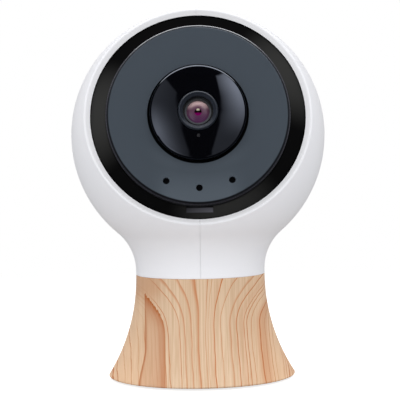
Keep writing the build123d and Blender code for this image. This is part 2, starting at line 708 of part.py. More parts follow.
with BuildPart() as eye_shell:
    with BuildSketch(eye_section):
        with BuildLine():
            rear_angle = latitude(eye_radius, -EYE_PARTING)
            front_angle = latitude(eye_radius, rim_depth)
            outer = CenterArc((0, 0), eye_radius, rear_angle, front_angle - rear_angle)
            rear_angle = latitude(eye_bore, -EYE_PARTING)
            front_angle = latitude(eye_bore, wall_back)
            inner = CenterArc((0, 0), eye_bore, rear_angle, front_angle - rear_angle)
            Line(outer @ 0, inner @ 0)
            Polyline(inner @ 1, (EYE_FRONT_HOLE, wall_back), (EYE_FRONT_HOLE, rim_depth), outer @ 1)
        make_face()
    revolve(axis=eye_axis)
    with BuildSketch(eye.offset(board_front)):
        with PolarLocations(board_screw_ring, BOARD_SCREW_COUNT, start_angle=DIAGONAL):
            Circle(POST_RADIUS)
    extrude(amount=wall_back - board_front)
    with BuildSketch(eye.offset(board_front)):
        with PolarLocations(board_screw_ring, BOARD_SCREW_COUNT, start_angle=DIAGONAL):
            Circle(SMALL_SCREW_RADIUS + SCREW_FIT)
    extrude(amount=SMALL_SCREW_LENGTH, mode=Mode.SUBTRACT)
    with BuildSketch(eye.offset(-EYE_PARTING)):
        with PolarLocations(eye_screw_ring, EYE_SCREW_COUNT, start_angle=DIAGONAL):
            Circle(EYE_BOSS_RADIUS)
    extrude(amount=EYE_BOSS_LENGTH)
    with BuildSketch(eye.offset(-EYE_PARTING)):
        with PolarLocations(eye_screw_ring, EYE_SCREW_COUNT, start_angle=DIAGONAL):
            Circle(SMALL_SCREW_RADIUS + SCREW_FIT)
    extrude(amount=SMALL_SCREW_LENGTH, mode=Mode.SUBTRACT)
    for side in (1, -1):
        with BuildSketch(side_plane(side, bush_start)):
            Circle(bush_radius + PIVOT_BOSS_WALL)
        extrude(amount=ball_radius_at(eye_bore, bush_radius + PIVOT_BOSS_WALL) + EYE_WALL / 2 - bush_start)
        with BuildSketch(side_plane(side, bush_start)):
            Circle(bush_radius)
        extrude(amount=eye_radius, mode=Mode.SUBTRACT)
    with BuildSketch(eye.offset(wall_back)):
        with Locations((0, -panel_hole_ring)):
            Circle(PANEL_HOLE_RADIUS)
    extrude(amount=EYE_FRONT_WALL, mode=Mode.SUBTRACT)
    with BuildSketch(eye.offset(rim_depth)):
        with Locations((0, -notch_reach)):
            RectangleRounded(
                NOTCH_WIDTH, notch_reach - notch_top, NOTCH_CORNER, align=(Align.CENTER, Align.MIN)
            )
    extrude(amount=-NOTCH_DEPTH, mode=Mode.SUBTRACT)
eye_shell.part.label = "eye_shell"
export_step(eye_shell.part, "parts/eye_shell.step")

with BuildPart() as pivot_bushes:
    for side in (1, -1):
        with BuildSketch(side_plane(side, bush_start)):
            Circle(bush_radius)
            Circle(PIN_RADIUS + PIN_FIT, mode=Mode.SUBTRACT)
        extrude(amount=BUSH_LENGTH)
pivot_bushes.part.label = "pivot_bushes"
export_step(pivot_bushes.part, "parts/pivot_bushes.step")

# Eye rear cover: a shallow dish that carries on the ball's outline, with sunk screw seats
cover_depth = magnet_back - COVER_SPEAKER_GAP
cover_inner = cover_depth - COVER_WALL
cover_flat_radius = eye_radius - COVER_SLOPE_WIDTH
head_plane_depth = EYE_PARTING + COVER_SEAT
with BuildPart() as eye_rear_cover:
    with BuildSketch(eye_section):
        with BuildLine():
            start_angle = latitude(eye_radius, -COVER_SHOULDER)
            end_angle = latitude(eye_radius, -EYE_PARTING)
            outer = CenterArc((0, 0), eye_radius, start_angle, end_angle - start_angle)
            Polyline(
                outer @ 1,
                (ball_radius_at(eye_bore, EYE_PARTING), -EYE_PARTING),
                (ball_radius_at(eye_bore, COVER_SHOULDER), -COVER_SHOULDER + COVER_WALL / 2),
                (cover_flat_radius - COVER_WALL / 2, -cover_inner),
                (0, -cover_inner),
                (0, -cover_depth),
                (cover_flat_radius, -cover_depth),
                outer @ 0,
            )
        make_face()
    revolve(axis=eye_axis)
    with BuildSketch(eye.offset(-EYE_PARTING)):
        with PolarLocations(eye_screw_ring, EYE_SCREW_COUNT, start_angle=DIAGONAL):
            Circle(EYE_BOSS_RADIUS)
    extrude(amount=-COVER_BOSS_DEPTH)
    with BuildSketch(eye.offset(-EYE_PARTING)):
        with PolarLocations(eye_screw_ring, EYE_SCREW_COUNT, start_angle=DIAGONAL):
            Circle(SMALL_SCREW_RADIUS + SCREW_FIT)
    extrude(amount=-cover_depth, mode=Mode.SUBTRACT)
    with BuildSketch(eye.offset(-head_plane_depth)):
        with PolarLocations(eye_screw_ring, EYE_SCREW_COUNT, start_angle=DIAGONAL):
            Circle(SMALL_HEAD_RADIUS + HEAD_FIT)
    extrude(amount=-cover_depth, mode=Mode.SUBTRACT)
    with BuildSketch(eye.offset(-cover_inner)):
        with Locations((0, GROMMET_OFFSET)):
            Circle(GROMMET_RADIUS)
    extrude(amount=-COVER_WALL, mode=Mode.SUBTRACT)
eye_rear_cover.part.label = "eye_rear_cover"
export_step(eye_rear_cover.part, "parts/eye_rear_cover.step")

behind_cover = Plane(eye.offset(-head_plane_depth).origin, x_dir=eye.x_dir, z_dir=-eye.z_dir)
with BuildPart() as eye_screws:
    screws(
        behind_cover, eye_screw_ring, EYE_SCREW_COUNT, DIAGONAL,
        SMALL_HEAD_RADIUS, SMALL_HEAD_HEIGHT, SMALL_SCREW_RADIUS, SMALL_SCREW_LENGTH,
    )
eye_screws.part.label = "eye_screws"
export_step(eye_screws.part, "parts/eye_screws.step")

with BuildPart() as cable_grommet:
    with BuildSketch(eye.offset(-cover_inner)):
        with Locations((0, GROMMET_OFFSET)):
            Circle(GROMMET_RADIUS)
    extrude(amount=-COVER_WALL)
    with BuildSketch(eye.offset(-cover_depth)):
        with Locations((0, GROMMET_OFFSET)):
            Circle(GROMMET_FLANGE_RADIUS)
    extrude(amount=-GROMMET_FLANGE_THICKNESS)
    with BuildSketch(eye.offset(-cover_inner)):
        with Locations((0, GROMMET_OFFSET)):
            Circle(GROMMET_BORE)
    extrude(amount=-cover_depth, mode=Mode.SUBTRACT)
cable_grommet.part.label = "cable_grommet"
export_step(cable_grommet.part, "parts/cable_grommet.step")

# Front panel: a shallow cap with a bevelled edge, a hole with a groove round the bezel and three small holes
panel_face = rim_depth + PANEL_THICKNESS
panel_inside = panel_face - PANEL_SKIN
panel_bore = BEZEL_RADIUS + PANEL_GROOVE
bevel_radius = panel_radius - PANEL_BEVEL_WIDTH


def panel_holes(count):
    """Places of the panel's holes, spread evenly about the lowest point, or of the outer two."""
    first = -90 - PANEL_HOLE_SPREAD
    return PolarLocations(panel_hole_ring, count, first, 2 * PANEL_HOLE_SPREAD, endpoint=True)


with BuildPart() as front_panel:
    with BuildSketch(eye_section) as panel_profile:
        with BuildLine():
            Polyline(
                (panel_bore, rim_depth),
                (panel_bore + PANEL_HUB_WIDTH, rim_depth),
                (panel_bore + PANEL_HUB_WIDTH, panel_inside),
                (panel_radius - PANEL_RIM_WIDTH, panel_inside),
                (panel_radius - PANEL_RIM_WIDTH, rim_depth),
                (panel_radius, rim_depth),
                (panel_radius, panel_face - PANEL_BEVEL_DEPTH),
                (bevel_radius, panel_face),
                (panel_bore, panel_face),
                close=True,
            )
        make_face()
        fillet(panel_profile.vertices().sort_by_distance((bevel_radius, panel_face))[0], PANEL_EDGE_ROUND)
    revolve(axis=eye_axis)
    with BuildSketch(eye.offset(panel_inside)):
        with panel_holes(PANEL_HOLE_COUNT):
            Circle(PANEL_HOLE_RADIUS)
    extrude(amount=PANEL_SKIN, mode=Mode.SUBTRACT)
front_panel.part.label = "front_panel"
export_step(front_panel.part, "parts/front_panel.step")

# Lens bezel: a cup with a shallow domed face and a hole for the lens
bezel_rim = panel_face + BEZEL_RIM_RISE
bezel_crown = panel_face + BEZEL_CROWN_RISE
bezel_bore = LENS_RING_RADIUS + BEZEL_LENS_FIT
crown_square = bezel_bore**2 + bezel_crown**2
rim_square = BEZEL_RADIUS**2 + bezel_rim**2
dome_middle = (crown_square - rim_square) / (2 * (bezel_crown - bezel_rim))
dome_round = hypot(BEZEL_RADIUS, bezel_rim - dome_middle)
bezel_inner = BEZEL_RADIUS - BEZEL_WALL


def dome_arc(radius, outer_edge, inner_edge):
    """Arc of the bezel's dome between two distances from the eye's axis."""
    start = 90 - latitude(radius, outer_edge)
    end = 90 - latitude(radius, inner_edge)
    return CenterArc((0, dome_middle), radius, start, end - start)


with BuildPart() as lens_bezel:
    with BuildSketch(eye_section) as bezel_profile:
        with BuildLine():
            face = dome_arc(dome_round, BEZEL_RADIUS, bezel_bore)
            under = dome_arc(dome_round - BEZEL_WALL, bezel_inner, bezel_bore)
            Line(face @ 1, under @ 1)
            Polyline(under @ 0, (bezel_inner, rim_depth), (BEZEL_RADIUS, rim_depth), face @ 0)
        make_face()
        fillet(bezel_profile.vertices().sort_by_distance((BEZEL_RADIUS, bezel_rim))[0], BEZEL_EDGE_ROUND)
    revolve(axis=eye_axis)
    with BuildSketch(eye.offset(rim_depth)):
        with Locations((0, -LIGHT_SENSOR_OFFSET)):
            Circle(LIGHT_GUIDE_RADIUS + LIGHT_GUIDE_FIT)
    extrude(amount=bezel_crown, mode=Mode.SUBTRACT)
lens_bezel.part.label = "lens_bezel"
export_step(lens_bezel.part, "parts/lens_bezel.step")

# Lens: ring, retainer, barrel, two elements and the spacer between them
ring_front = panel_face + LENS_RING_RISE
barrel_front = ring_front - LENS_RING_LENGTH
barrel_rear = barrel_front - BARREL_LENGTH
pocket_floor = barrel_front - LENS_POCKET_DEPTH
with BuildPart() as lens_ring:
    with BuildSketch(eye_section):
        with BuildLine():
            Polyline(
                (LENS_RING_BORE, barrel_front),
                (LENS_RING_RADIUS, barrel_front),
                (LENS_RING_RADIUS, ring_front - LENS_RING_CHAMFER),
                (LENS_RING_RADIUS - LENS_RING_CHAMFER, ring_front),
                (LENS_RING_RADIUS - LENS_RING_RIM, ring_front),
                (LENS_RING_BORE, ring_front - LENS_RING_DISH),
                close=True,
            )
        make_face()
    revolve(axis=eye_axis)
lens_ring.part.label = "lens_ring"
export_step(lens_ring.part, "parts/lens_ring.step")

barrel_step = barrel_rear + BARREL_END_LENGTH
with BuildPart() as lens_barrel:
    with BuildSketch(eye_section):
        with BuildLine():
            Polyline(
                (BARREL_END_BORE, barrel_rear),
                (BARREL_RADIUS, barrel_rear),
                (BARREL_RADIUS, barrel_front),
                (LENS_RING_BORE, barrel_front),
                (LENS_RING_BORE, pocket_floor),
                (BARREL_BORE, pocket_floor),
                (BARREL_BORE, barrel_step),
                (BARREL_END_BORE, barrel_step),
                close=True,
            )
        make_face()
    revolve(axis=eye_axis)
lens_barrel.part.label = "lens_barrel"
export_step(lens_barrel.part, "parts/lens_barrel.step")

front_lens_radius = LENS_RING_BORE - LENS_FIT
front_lens_edge = pocket_floor + FRONT_LENS_EDGE
with BuildPart() as front_lens:
    with BuildSketch(eye_section):
        with BuildLine():
            sphere = (front_lens_radius**2 + FRONT_LENS_SAG**2) / (2 * FRONT_LENS_SAG)
            sweep = latitude(sphere, front_lens_radius)
            crown = CenterArc((0, front_lens_edge + FRONT_LENS_SAG - sphere), sphere, 90 - sweep, sweep)
            Polyline(crown @ 1, (0, pocket_floor), (front_lens_radius, pocket_floor), crown @ 0)
        make_face()
    revolve(axis=eye_axis)
front_lens.part.label = "front_lens"
export_step(front_lens.part, "parts/front_lens.step")

with BuildPart() as lens_retainer:
    with BuildSketch(eye.offset(barrel_front - RETAINER_THICKNESS)):
        Circle(LENS_RING_BORE - LENS_FIT / 2)
        Circle(RETAINER_BORE, mode=Mode.SUBTRACT)
    extrude(amount=RETAINER_THICKNESS)
    with BuildSketch(eye.offset(barrel_front)):
        Circle(RETAINER_BORE + RETAINER_LIP_WIDTH)
        Circle(RETAINER_BORE, mode=Mode.SUBTRACT)
    extrude(amount=RETAINER_LIP_RISE)
lens_retainer.part.label = "lens_retainer"
export_step(lens_retainer.part, "parts/lens_retainer.step")

inner_lens_radius = BARREL_BORE - LENS_FIT
with BuildPart() as inner_lens:
    with BuildSketch(eye_section):
        with BuildLine():
            sag = INNER_LENS_THICKNESS - INNER_LENS_EDGE
            sphere = (inner_lens_radius**2 + sag**2) / (2 * sag)
            sweep = latitude(sphere, inner_lens_radius)
            crown = CenterArc((0, barrel_step + INNER_LENS_THICKNESS - sphere), sphere, 90 - sweep, sweep)
            Polyline(crown @ 1, (0, barrel_step), (inner_lens_radius, barrel_step), crown @ 0)
        make_face()
    revolve(axis=eye_axis)
inner_lens.part.label = "inner_lens"
export_step(inner_lens.part, "parts/inner_lens.step")

spacer_start = barrel_step + INNER_LENS_THICKNESS
with BuildPart() as lens_spacer:
    with BuildSketch(eye.offset(spacer_start)):
        Circle(BARREL_BORE - LENS_FIT)
        Circle(BARREL_BORE - LENS_FIT - SPACER_WALL, mode=Mode.SUBTRACT)
    extrude(amount=pocket_floor - spacer_start)
lens_spacer.part.label = "lens_spacer"
export_step(lens_spacer.part, "parts/lens_spacer.step")

# Lens holder: an eared base on the main board, with a chamber over the sensor and a tube for the barrel
chamber_roof = board_front + HOLDER_CHAMBER_DEPTH
tube_floor = barrel_rear - LENS_FIT
tube_front = barrel_rear + HOLDER_LENS_DEPTH
with BuildPart() as lens_holder:
    with BuildSketch(eye.offset(board_front)):
        Rectangle(HOLDER_WIDTH, HOLDER_WIDTH)
        SlotOverall(HOLDER_EAR_SPAN, HOLDER_EAR_WIDTH)
    extrude(amount=HOLDER_BASE_THICKNESS)
    with BuildSketch(eye.offset(board_front)):
        Circle(HOLDER_TUBE_RADIUS)
    extrude(amount=tube_front - board_front)
    with BuildSketch(eye.offset(board_front)):
        Rectangle(HOLDER_CHAMBER_WIDTH, HOLDER_CHAMBER_WIDTH)
    extrude(amount=HOLDER_CHAMBER_DEPTH, mode=Mode.SUBTRACT)
    with BuildSketch(eye.offset(board_front)):
        Circle(HOLDER_WINDOW_RADIUS)
    extrude(amount=tube_front - board_front, mode=Mode.SUBTRACT)
    with BuildSketch(eye.offset(tube_floor)):
        Circle(BARREL_RADIUS + LENS_FIT)
    extrude(amount=tube_front - tube_floor, mode=Mode.SUBTRACT)
    with BuildSketch(eye.offset(board_front)):
        with PolarLocations(HOLDER_SCREW_OFFSET, HOLDER_SCREW_COUNT):
            Circle(SMALL_SCREW_RADIUS + SCREW_FIT)
    extrude(amount=HOLDER_BASE_THICKNESS, mode=Mode.SUBTRACT)
lens_holder.part.label = "lens_holder"
export_step(lens_holder.part, "parts/lens_holder.step")

with BuildPart() as infrared_filter:
    with BuildSketch(eye.offset(chamber_roof)):
        Rectangle(FILTER_WIDTH, FILTER_WIDTH)
    extrude(amount=-FILTER_THICKNESS)
infrared_filter.part.label = "infrared_filter"
export_step(infrared_filter.part, "parts/infrared_filter.step")

with BuildPart() as image_sensor:
    with BuildSketch(eye.offset(board_front)):
        Rectangle(SENSOR_WIDTH, SENSOR_HEIGHT)
    extrude(amount=SENSOR_THICKNESS)
image_sensor.part.label = "image_sensor"
export_step(image_sensor.part, "parts/image_sensor.step")

# Main board, its screws and what is soldered to it
with BuildPart() as main_board:
    with BuildSketch(eye.offset(board_back)):
        Circle(board_radius)
        with PolarLocations(board_screw_ring, BOARD_SCREW_COUNT, start_angle=DIAGONAL):
            Circle(SMALL_SCREW_RADIUS + SCREW_FIT, mode=Mode.SUBTRACT)
        with PolarLocations(HOLDER_SCREW_OFFSET, HOLDER_SCREW_COUNT):
            Circle(SMALL_SCREW_RADIUS + SCREW_FIT, mode=Mode.SUBTRACT)
    extrude(amount=BOARD_THICKNESS)
main_board.part.label = "main_board"
export_step(main_board.part, "parts/main_board.step")

behind_board = Plane(eye.offset(board_back).origin, x_dir=eye.x_dir, z_dir=-eye.z_dir)
with BuildPart() as board_screws:
    screws(
        behind_board, board_screw_ring, BOARD_SCREW_COUNT, DIAGONAL,
        SMALL_HEAD_RADIUS, SMALL_HEAD_HEIGHT, SMALL_SCREW_RADIUS, SMALL_SCREW_LENGTH,
    )
board_screws.part.label = "board_screws"
export_step(board_screws.part, "parts/board_screws.step")

with BuildPart() as holder_screws:
    screws(
        behind_board, HOLDER_SCREW_OFFSET, HOLDER_SCREW_COUNT, 0,
        SMALL_HEAD_RADIUS, SMALL_HEAD_HEIGHT, SMALL_SCREW_RADIUS, BOARD_THICKNESS + HOLDER_BASE_THICKNESS,
    )
holder_screws.part.label = "holder_screws"
export_step(holder_screws.part, "parts/holder_screws.step")

with BuildPart() as processor_shield:
    with BuildSketch(eye.offset(board_back)):
        with Locations((0, SHIELD_OFFSET)):
            RectangleRounded(SHIELD_WIDTH, SHIELD_WIDTH, SHIELD_CORNER)
    extrude(amount=-SHIELD_THICKNESS)
processor_shield.part.label = "processor_shield"
export_step(processor_shield.part, "parts/processor_shield.step")

with BuildPart() as wireless_module:
    with BuildSketch(eye.offset(board_back)):
        with Locations((0, WIRELESS_OFFSET)):
            Rectangle(WIRELESS_WIDTH, WIRELESS_HEIGHT)
    extrude(amount=-WIRELESS_THICKNESS)
wireless_module.part.label = "wireless_module"
export_step(wireless_module.part, "parts/wireless_module.step")

with BuildPart() as antenna:
    with BuildSketch(eye.offset(-cover_inner)):
        with Locations((0, ANTENNA_OFFSET)):
            Rectangle(ANTENNA_WIDTH, ANTENNA_HEIGHT)
    extrude(amount=ANTENNA_THICKNESS)
antenna.part.label = "antenna"
export_step(antenna.part, "parts/antenna.step")

# Behind the panel's holes: microphones in rubber seals, and a light pipe down to the status light
with BuildPart() as microphones:
    with BuildSketch(eye.offset(rim_depth)):
        with panel_holes(MICROPHONE_COUNT):
            Circle(MICROPHONE_RADIUS)
    extrude(amount=MICROPHONE_THICKNESS)
microphones.part.label = "microphones"
export_step(microphones.part, "parts/microphones.step")

with BuildPart() as microphone_seals:
    with BuildSketch(eye.offset(rim_depth)):
        with panel_holes(MICROPHONE_COUNT):
            Circle(MICROPHONE_RADIUS + SEAL_WALL)
            Circle(MICROPHONE_RADIUS, mode=Mode.SUBTRACT)
    extrude(amount=panel_inside - rim_depth)
microphone_seals.part.label = "microphone_seals"
export_step(microphone_seals.part, "parts/microphone_seals.step")

with BuildPart() as status_light:
    with BuildSketch(eye.offset(board_front)):
        with Locations((0, -panel_hole_ring)):
            Rectangle(STATUS_LIGHT_WIDTH, STATUS_LIGHT_HEIGHT)
    extrude(amount=STATUS_LIGHT_THICKNESS)
status_light.part.label = "status_light"
export_step(status_light.part, "parts/status_light.step")

pipe_start = board_front + STATUS_LIGHT_THICKNESS + PIPE_GAP
with BuildPart() as light_pipe:
    with BuildSketch(eye.offset(pipe_start)):
        with Locations((0, -panel_hole_ring)):
            Circle(PANEL_HOLE_RADIUS - PIPE_FIT)
    extrude(amount=panel_face - PIPE_RECESS - pipe_start)
    with BuildSketch(eye.offset(rim_depth)):
        with Locations((0, -panel_hole_ring)):
            Circle(PIPE_FLANGE_RADIUS)
    extrude(amount=PIPE_FLANGE_THICKNESS)
light_pipe.part.label = "light_pipe"
export_step(light_pipe.part, "parts/light_pipe.step")

# Sensor board behind the dark bezel, with infrared lights and the light sensor under its guide
sensor_board_front = rim_depth + SENSOR_BOARD_THICKNESS
guide_front = dome_middle + ball_radius_at(dome_round, LIGHT_SENSOR_OFFSET) - LIGHT_GUIDE_RECESS
with BuildPart() as sensor_board:
    with BuildSketch(eye.offset(rim_depth)):
        Circle(SENSOR_BOARD_RADIUS)
        Circle(SENSOR_BOARD_BORE, mode=Mode.SUBTRACT)
    extrude(amount=SENSOR_BOARD_THICKNESS)
sensor_board.part.label = "sensor_board"
export_step(sensor_board.part, "parts/sensor_board.step")

with BuildPart() as infrared_lights:
    with BuildSketch(eye.offset(sensor_board_front)):
        with PolarLocations(INFRARED_RING_RADIUS, INFRARED_COUNT):
            Circle(INFRARED_RADIUS)
    extrude(amount=INFRARED_HEIGHT)
    tips = infrared_lights.faces().filter_by(Plane(eye.origin, z_dir=eye.z_dir)).group_by(eye_axis)[-1]
    fillet(tips.edges(), INFRARED_RADIUS / 2)
infrared_lights.part.label = "infrared_lights"
export_step(infrared_lights.part, "parts/infrared_lights.step")

with BuildPart() as light_sensor:
    with BuildSketch(eye.offset(sensor_board_front)):
        with Locations((0, -LIGHT_SENSOR_OFFSET)):
            Rectangle(LIGHT_SENSOR_WIDTH, LIGHT_SENSOR_WIDTH)
    extrude(amount=LIGHT_SENSOR_THICKNESS)
    with BuildSketch(eye.offset(sensor_board_front)):
        with Locations((0, -LIGHT_SENSOR_OFFSET)):
            Circle(LIGHT_GUIDE_RADIUS)
    extrude(amount=guide_front - sensor_board_front)
light_sensor.part.label = "light_sensor"
export_step(light_sensor.part, "parts/light_sensor.step")

# Speaker: basket, magnet, cone and a gasket that seals it to the shell, held by an eared clamp ring
speaker_section = Plane.XY.offset(HEAD_HEIGHT)
speaker_axis = Axis(head_centre, (0, 1, 0))
cone_rim = speaker_face - SPEAKER_WALL
with BuildPart() as speaker_frame:
    with BuildSketch(speaker_section):
        with BuildLine():
            Polyline(
                (SPEAKER_RADIUS, speaker_face),
                (SPEAKER_RADIUS, speaker_back),
                (CLAMP_BORE, speaker_back),
                (SPEAKER_BASKET_RADIUS, basket_back),
                (0, basket_back),
                (0, basket_back + SPEAKER_WALL),
                (SPEAKER_BASKET_RADIUS - SPEAKER_WALL, basket_back + SPEAKER_WALL),
                (CLAMP_BORE - SPEAKER_WALL, cone_rim - CONE_THICKNESS),
                (CONE_RADIUS, cone_rim - CONE_THICKNESS),
                (CONE_RADIUS, speaker_face),
                close=True,
            )
        make_face()
    revolve(axis=speaker_axis)
speaker_frame.part.label = "speaker_frame"
export_step(speaker_frame.part, "parts/speaker_frame.step")

with BuildPart() as speaker_magnet:
    with BuildSketch(back_plane(basket_back, HEAD_HEIGHT)):
        Circle(MAGNET_RADIUS)
    extrude(amount=-MAGNET_THICKNESS)
    chamfer(speaker_magnet.faces().sort_by(Axis.Y)[0].edges(), MAGNET_CHAMFER)
speaker_magnet.part.label = "speaker_magnet"
export_step(speaker_magnet.part, "parts/speaker_magnet.step")

with BuildPart() as speaker_cone:
    with BuildSketch(speaker_section):
        with BuildLine():
            Polyline(
                (0, cone_rim - CONE_DEPTH),
                (CONE_NECK_RADIUS, cone_rim - CONE_DEPTH),
                (CONE_RADIUS - SPEAKER_WALL - CONE_THICKNESS, cone_rim - CONE_THICKNESS),
                (CONE_RADIUS, cone_rim - CONE_THICKNESS),
                (CONE_RADIUS, cone_rim),
                (CONE_RADIUS - SPEAKER_WALL - CONE_THICKNESS, cone_rim),
                (CONE_NECK_RADIUS, cone_rim - CONE_DEPTH + CONE_THICKNESS),
                (0, cone_rim - CONE_DEPTH + CONE_THICKNESS),
                close=True,
            )
        make_face()
    revolve(axis=speaker_axis)
speaker_cone.part.label = "speaker_cone"
export_step(speaker_cone.part, "parts/speaker_cone.step")

gasket_ball = shell_bore - GASKET_FIT
with BuildPart() as speaker_gasket:
    with BuildSketch(speaker_section):
        with BuildLine():
            start_angle = 90 - latitude(gasket_ball, SPEAKER_RADIUS)
            end_angle = 90 - latitude(gasket_ball, SPEAKER_RADIUS - GASKET_WIDTH)
            crown = CenterArc((0, 0), gasket_ball, start_angle, end_angle - start_angle)
            Polyline(
                crown @ 1,
                (SPEAKER_RADIUS - GASKET_WIDTH, speaker_face),
                (SPEAKER_RADIUS, speaker_face),
                crown @ 0,
            )
        make_face()
    revolve(axis=speaker_axis)
speaker_gasket.part.label = "speaker_gasket"
export_step(speaker_gasket.part, "parts/speaker_gasket.step")

with BuildPart() as speaker_clamp:
    with BuildSketch(back_plane(speaker_back, HEAD_HEIGHT)):
        Circle(CLAMP_RADIUS)
        SlotCenterToCenter(2 * CLAMP_SCREW_OFFSET, 2 * CLAMP_EAR_RADIUS)
        Circle(CLAMP_BORE, mode=Mode.SUBTRACT)
        with PolarLocations(CLAMP_SCREW_OFFSET, CLAMP_SCREW_COUNT):
            Circle(SMALL_SCREW_RADIUS + SCREW_FIT, mode=Mode.SUBTRACT)
    extrude(amount=-CLAMP_THICKNESS)
speaker_clamp.part.label = "speaker_clamp"
export_step(speaker_clamp.part, "parts/speaker_clamp.step")

before_clamp = Plane((0, speaker_back - CLAMP_THICKNESS, HEAD_HEIGHT), x_dir=(1, 0, 0), z_dir=(0, -1, 0))
with BuildPart() as speaker_screws:
    screws(
        before_clamp, CLAMP_SCREW_OFFSET, CLAMP_SCREW_COUNT, 0,
        SMALL_HEAD_RADIUS, SMALL_HEAD_HEIGHT, SMALL_SCREW_RADIUS, SPEAKER_SCREW_LENGTH,
    )
speaker_screws.part.label = "speaker_screws"
export_step(speaker_screws.part, "parts/speaker_screws.step")
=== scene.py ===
import json
import math

import bpy
from mathutils import Matrix, Vector

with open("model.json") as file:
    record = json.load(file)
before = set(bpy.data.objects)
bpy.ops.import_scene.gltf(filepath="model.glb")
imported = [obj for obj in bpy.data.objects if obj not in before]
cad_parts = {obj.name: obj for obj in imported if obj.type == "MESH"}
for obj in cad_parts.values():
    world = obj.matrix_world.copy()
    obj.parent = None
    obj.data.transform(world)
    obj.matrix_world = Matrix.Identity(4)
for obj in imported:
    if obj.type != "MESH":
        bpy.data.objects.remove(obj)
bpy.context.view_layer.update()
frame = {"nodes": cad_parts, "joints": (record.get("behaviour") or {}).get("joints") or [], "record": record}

# Places in the camera's own frame, in metres
tilt_joint = next(joint for joint in frame["joints"] if joint["name"] == "eye_tilt")
HEAD_CENTRE = Vector(tilt_joint["pos_m"])
EYE_TILT = math.radians(12.5)
EYE_AXIS = Vector((0.0, -math.cos(EYE_TILT), math.sin(EYE_TILT)))
EYE_UP = Vector((0.0, math.sin(EYE_TILT), math.cos(EYE_TILT)))
EYE_RIGHT = Vector((1.0, 0.0, 0.0))

# Units, and values that several materials share
MILLIMETRES = 1000.0
MICROMETRE = 0.000001
WHITE = (1.0, 1.0, 1.0, 1.0)
NOISE_MIDDLE = 0.5
NOISE_SPAN = (0.3, 0.7)
CLOUD_SCALE = 0.05
CLOUD_DETAIL = 3.0
METAL = {"Metallic": 1.0}


# Node helpers

def add_node(tree, kind, settings=None, **inputs):
    """Adds a node. Its inputs go by their labels, with underscores for spaces, and are values or sockets."""
    made = tree.nodes.new(kind)
    for name, value in (settings or {}).items():
        setattr(made, name, value)
    for name, value in inputs.items():
        give(tree, made.inputs[name.replace("_", " ")], value)
    return made


def give(tree, socket, value):
    """Sets an input to a value, or links it to another node's output."""
    if isinstance(value, bpy.types.NodeSocket):
        tree.links.new(value, socket)
    else:
        socket.default_value = value


def maths(tree, operation, *values, clamp=False):
    """Result of a maths node on up to three values or sockets."""
    made = add_node(tree, "ShaderNodeMath", {"operation": operation, "use_clamp": clamp})
    for socket, value in zip(made.inputs, values):
        give(tree, socket, value)
    return made.outputs[0]


def times(tree, product, *factors):
    """Product of values or sockets."""
    for factor in factors:
        product = maths(tree, "MULTIPLY", product, factor)
    return product


def plus(tree, total, *terms):
    """Sum of values or sockets."""
    for term in terms:
        total = maths(tree, "ADD", total, term)
    return total


def scaled(tree, value, gain, start):
    """A start plus a gain times a value."""
    return maths(tree, "MULTIPLY_ADD", value, gain, start)


def vector_maths(tree, operation, first, second, output="Vector"):
    """Result of a vector maths node on two vectors or sockets."""
    made = add_node(tree, "ShaderNodeVectorMath", {"operation": operation})
    give(tree, made.inputs[0], first)
    give(tree, made.inputs[1], second)
    return made.outputs[output]


def ramp(tree, value, low, high, start=0.0, end=1.0, smooth=True):
    """Value carried from one range to another and held inside it."""
    curve = "SMOOTHSTEP" if smooth else "LINEAR"
    made = add_node(tree, "ShaderNodeMapRange", {"interpolation_type": curve})
    for socket, number in zip(made.inputs, (value, low, high, start, end)):
        give(tree, socket, number)
    return made.outputs[0]


def named_socket(sockets, identifier):
    """Socket with an identifier, on a node whose socket names repeat."""
    return next(socket for socket in sockets if socket.identifier == identifier)


def mix(tree, factor, first, second, data="RGBA", ending="Color"):
    """Colour between two colours, or number between two numbers."""
    made = add_node(tree, "ShaderNodeMix", {"data_type": data})
    give(tree, named_socket(made.inputs, "Factor_Float"), factor)
    give(tree, named_socket(made.inputs, "A_" + ending), first)
    give(tree, named_socket(made.inputs, "B_" + ending), second)
    return named_socket(made.outputs, "Result_" + ending)


def place(tree):
    """Place on the object in millimetres, in the camera's own frame."""
    spot = tree.nodes.new("ShaderNodeTexCoord").outputs["Object"]
    return stretch(tree, spot, MILLIMETRES, MILLIMETRES, MILLIMETRES)


def stretch(tree, spot, along_x=1.0, along_y=1.0, along_z=1.0):
    """Place with each direction scaled."""
    return vector_maths(tree, "MULTIPLY", spot, (along_x, along_y, along_z))


def noise(tree, spot, scale, detail=2.0, roughness=0.5):
    """Soft noise from 0 to 1 at a place."""
    made = add_node(tree, "ShaderNodeTexNoise", Vector=spot, Scale=scale, Detail=detail, Roughness=roughness)
    return made.outputs["Fac"]


def noise_along(tree, distance, scale, detail):
    """Soft noise from 0 to 1 along a distance."""
    line = {"noise_dimensions": "1D"}
    made = add_node(tree, "ShaderNodeTexNoise", line, W=distance, Scale=scale, Detail=detail)
    return made.outputs["Fac"]


def cloud(tree, spot):
    """Broad, faint unevenness of a colour."""
    return noise(tree, spot, CLOUD_SCALE, CLOUD_DETAIL)


def uneven(tree, skin, low, high):
    """Roughness that follows a fine skin from low to high."""
    return ramp(tree, skin, *NOISE_SPAN, low, high)


def along(tree, spot, direction):
    """Distance in millimetres from the middle of the head along a direction."""
    offset = vector_maths(tree, "SUBTRACT", spot, HEAD_CENTRE * MILLIMETRES)
    return vector_maths(tree, "DOT_PRODUCT", offset, direction, "Value")


def eye_radius(tree, spot):
    """Distance in millimetres from the eye's axis."""
    right = along(tree, spot, EYE_RIGHT)
    up = along(tree, spot, EYE_UP)
    return maths(tree, "SQRT", plus(tree, times(tree, right, right), times(tree, up, up)))


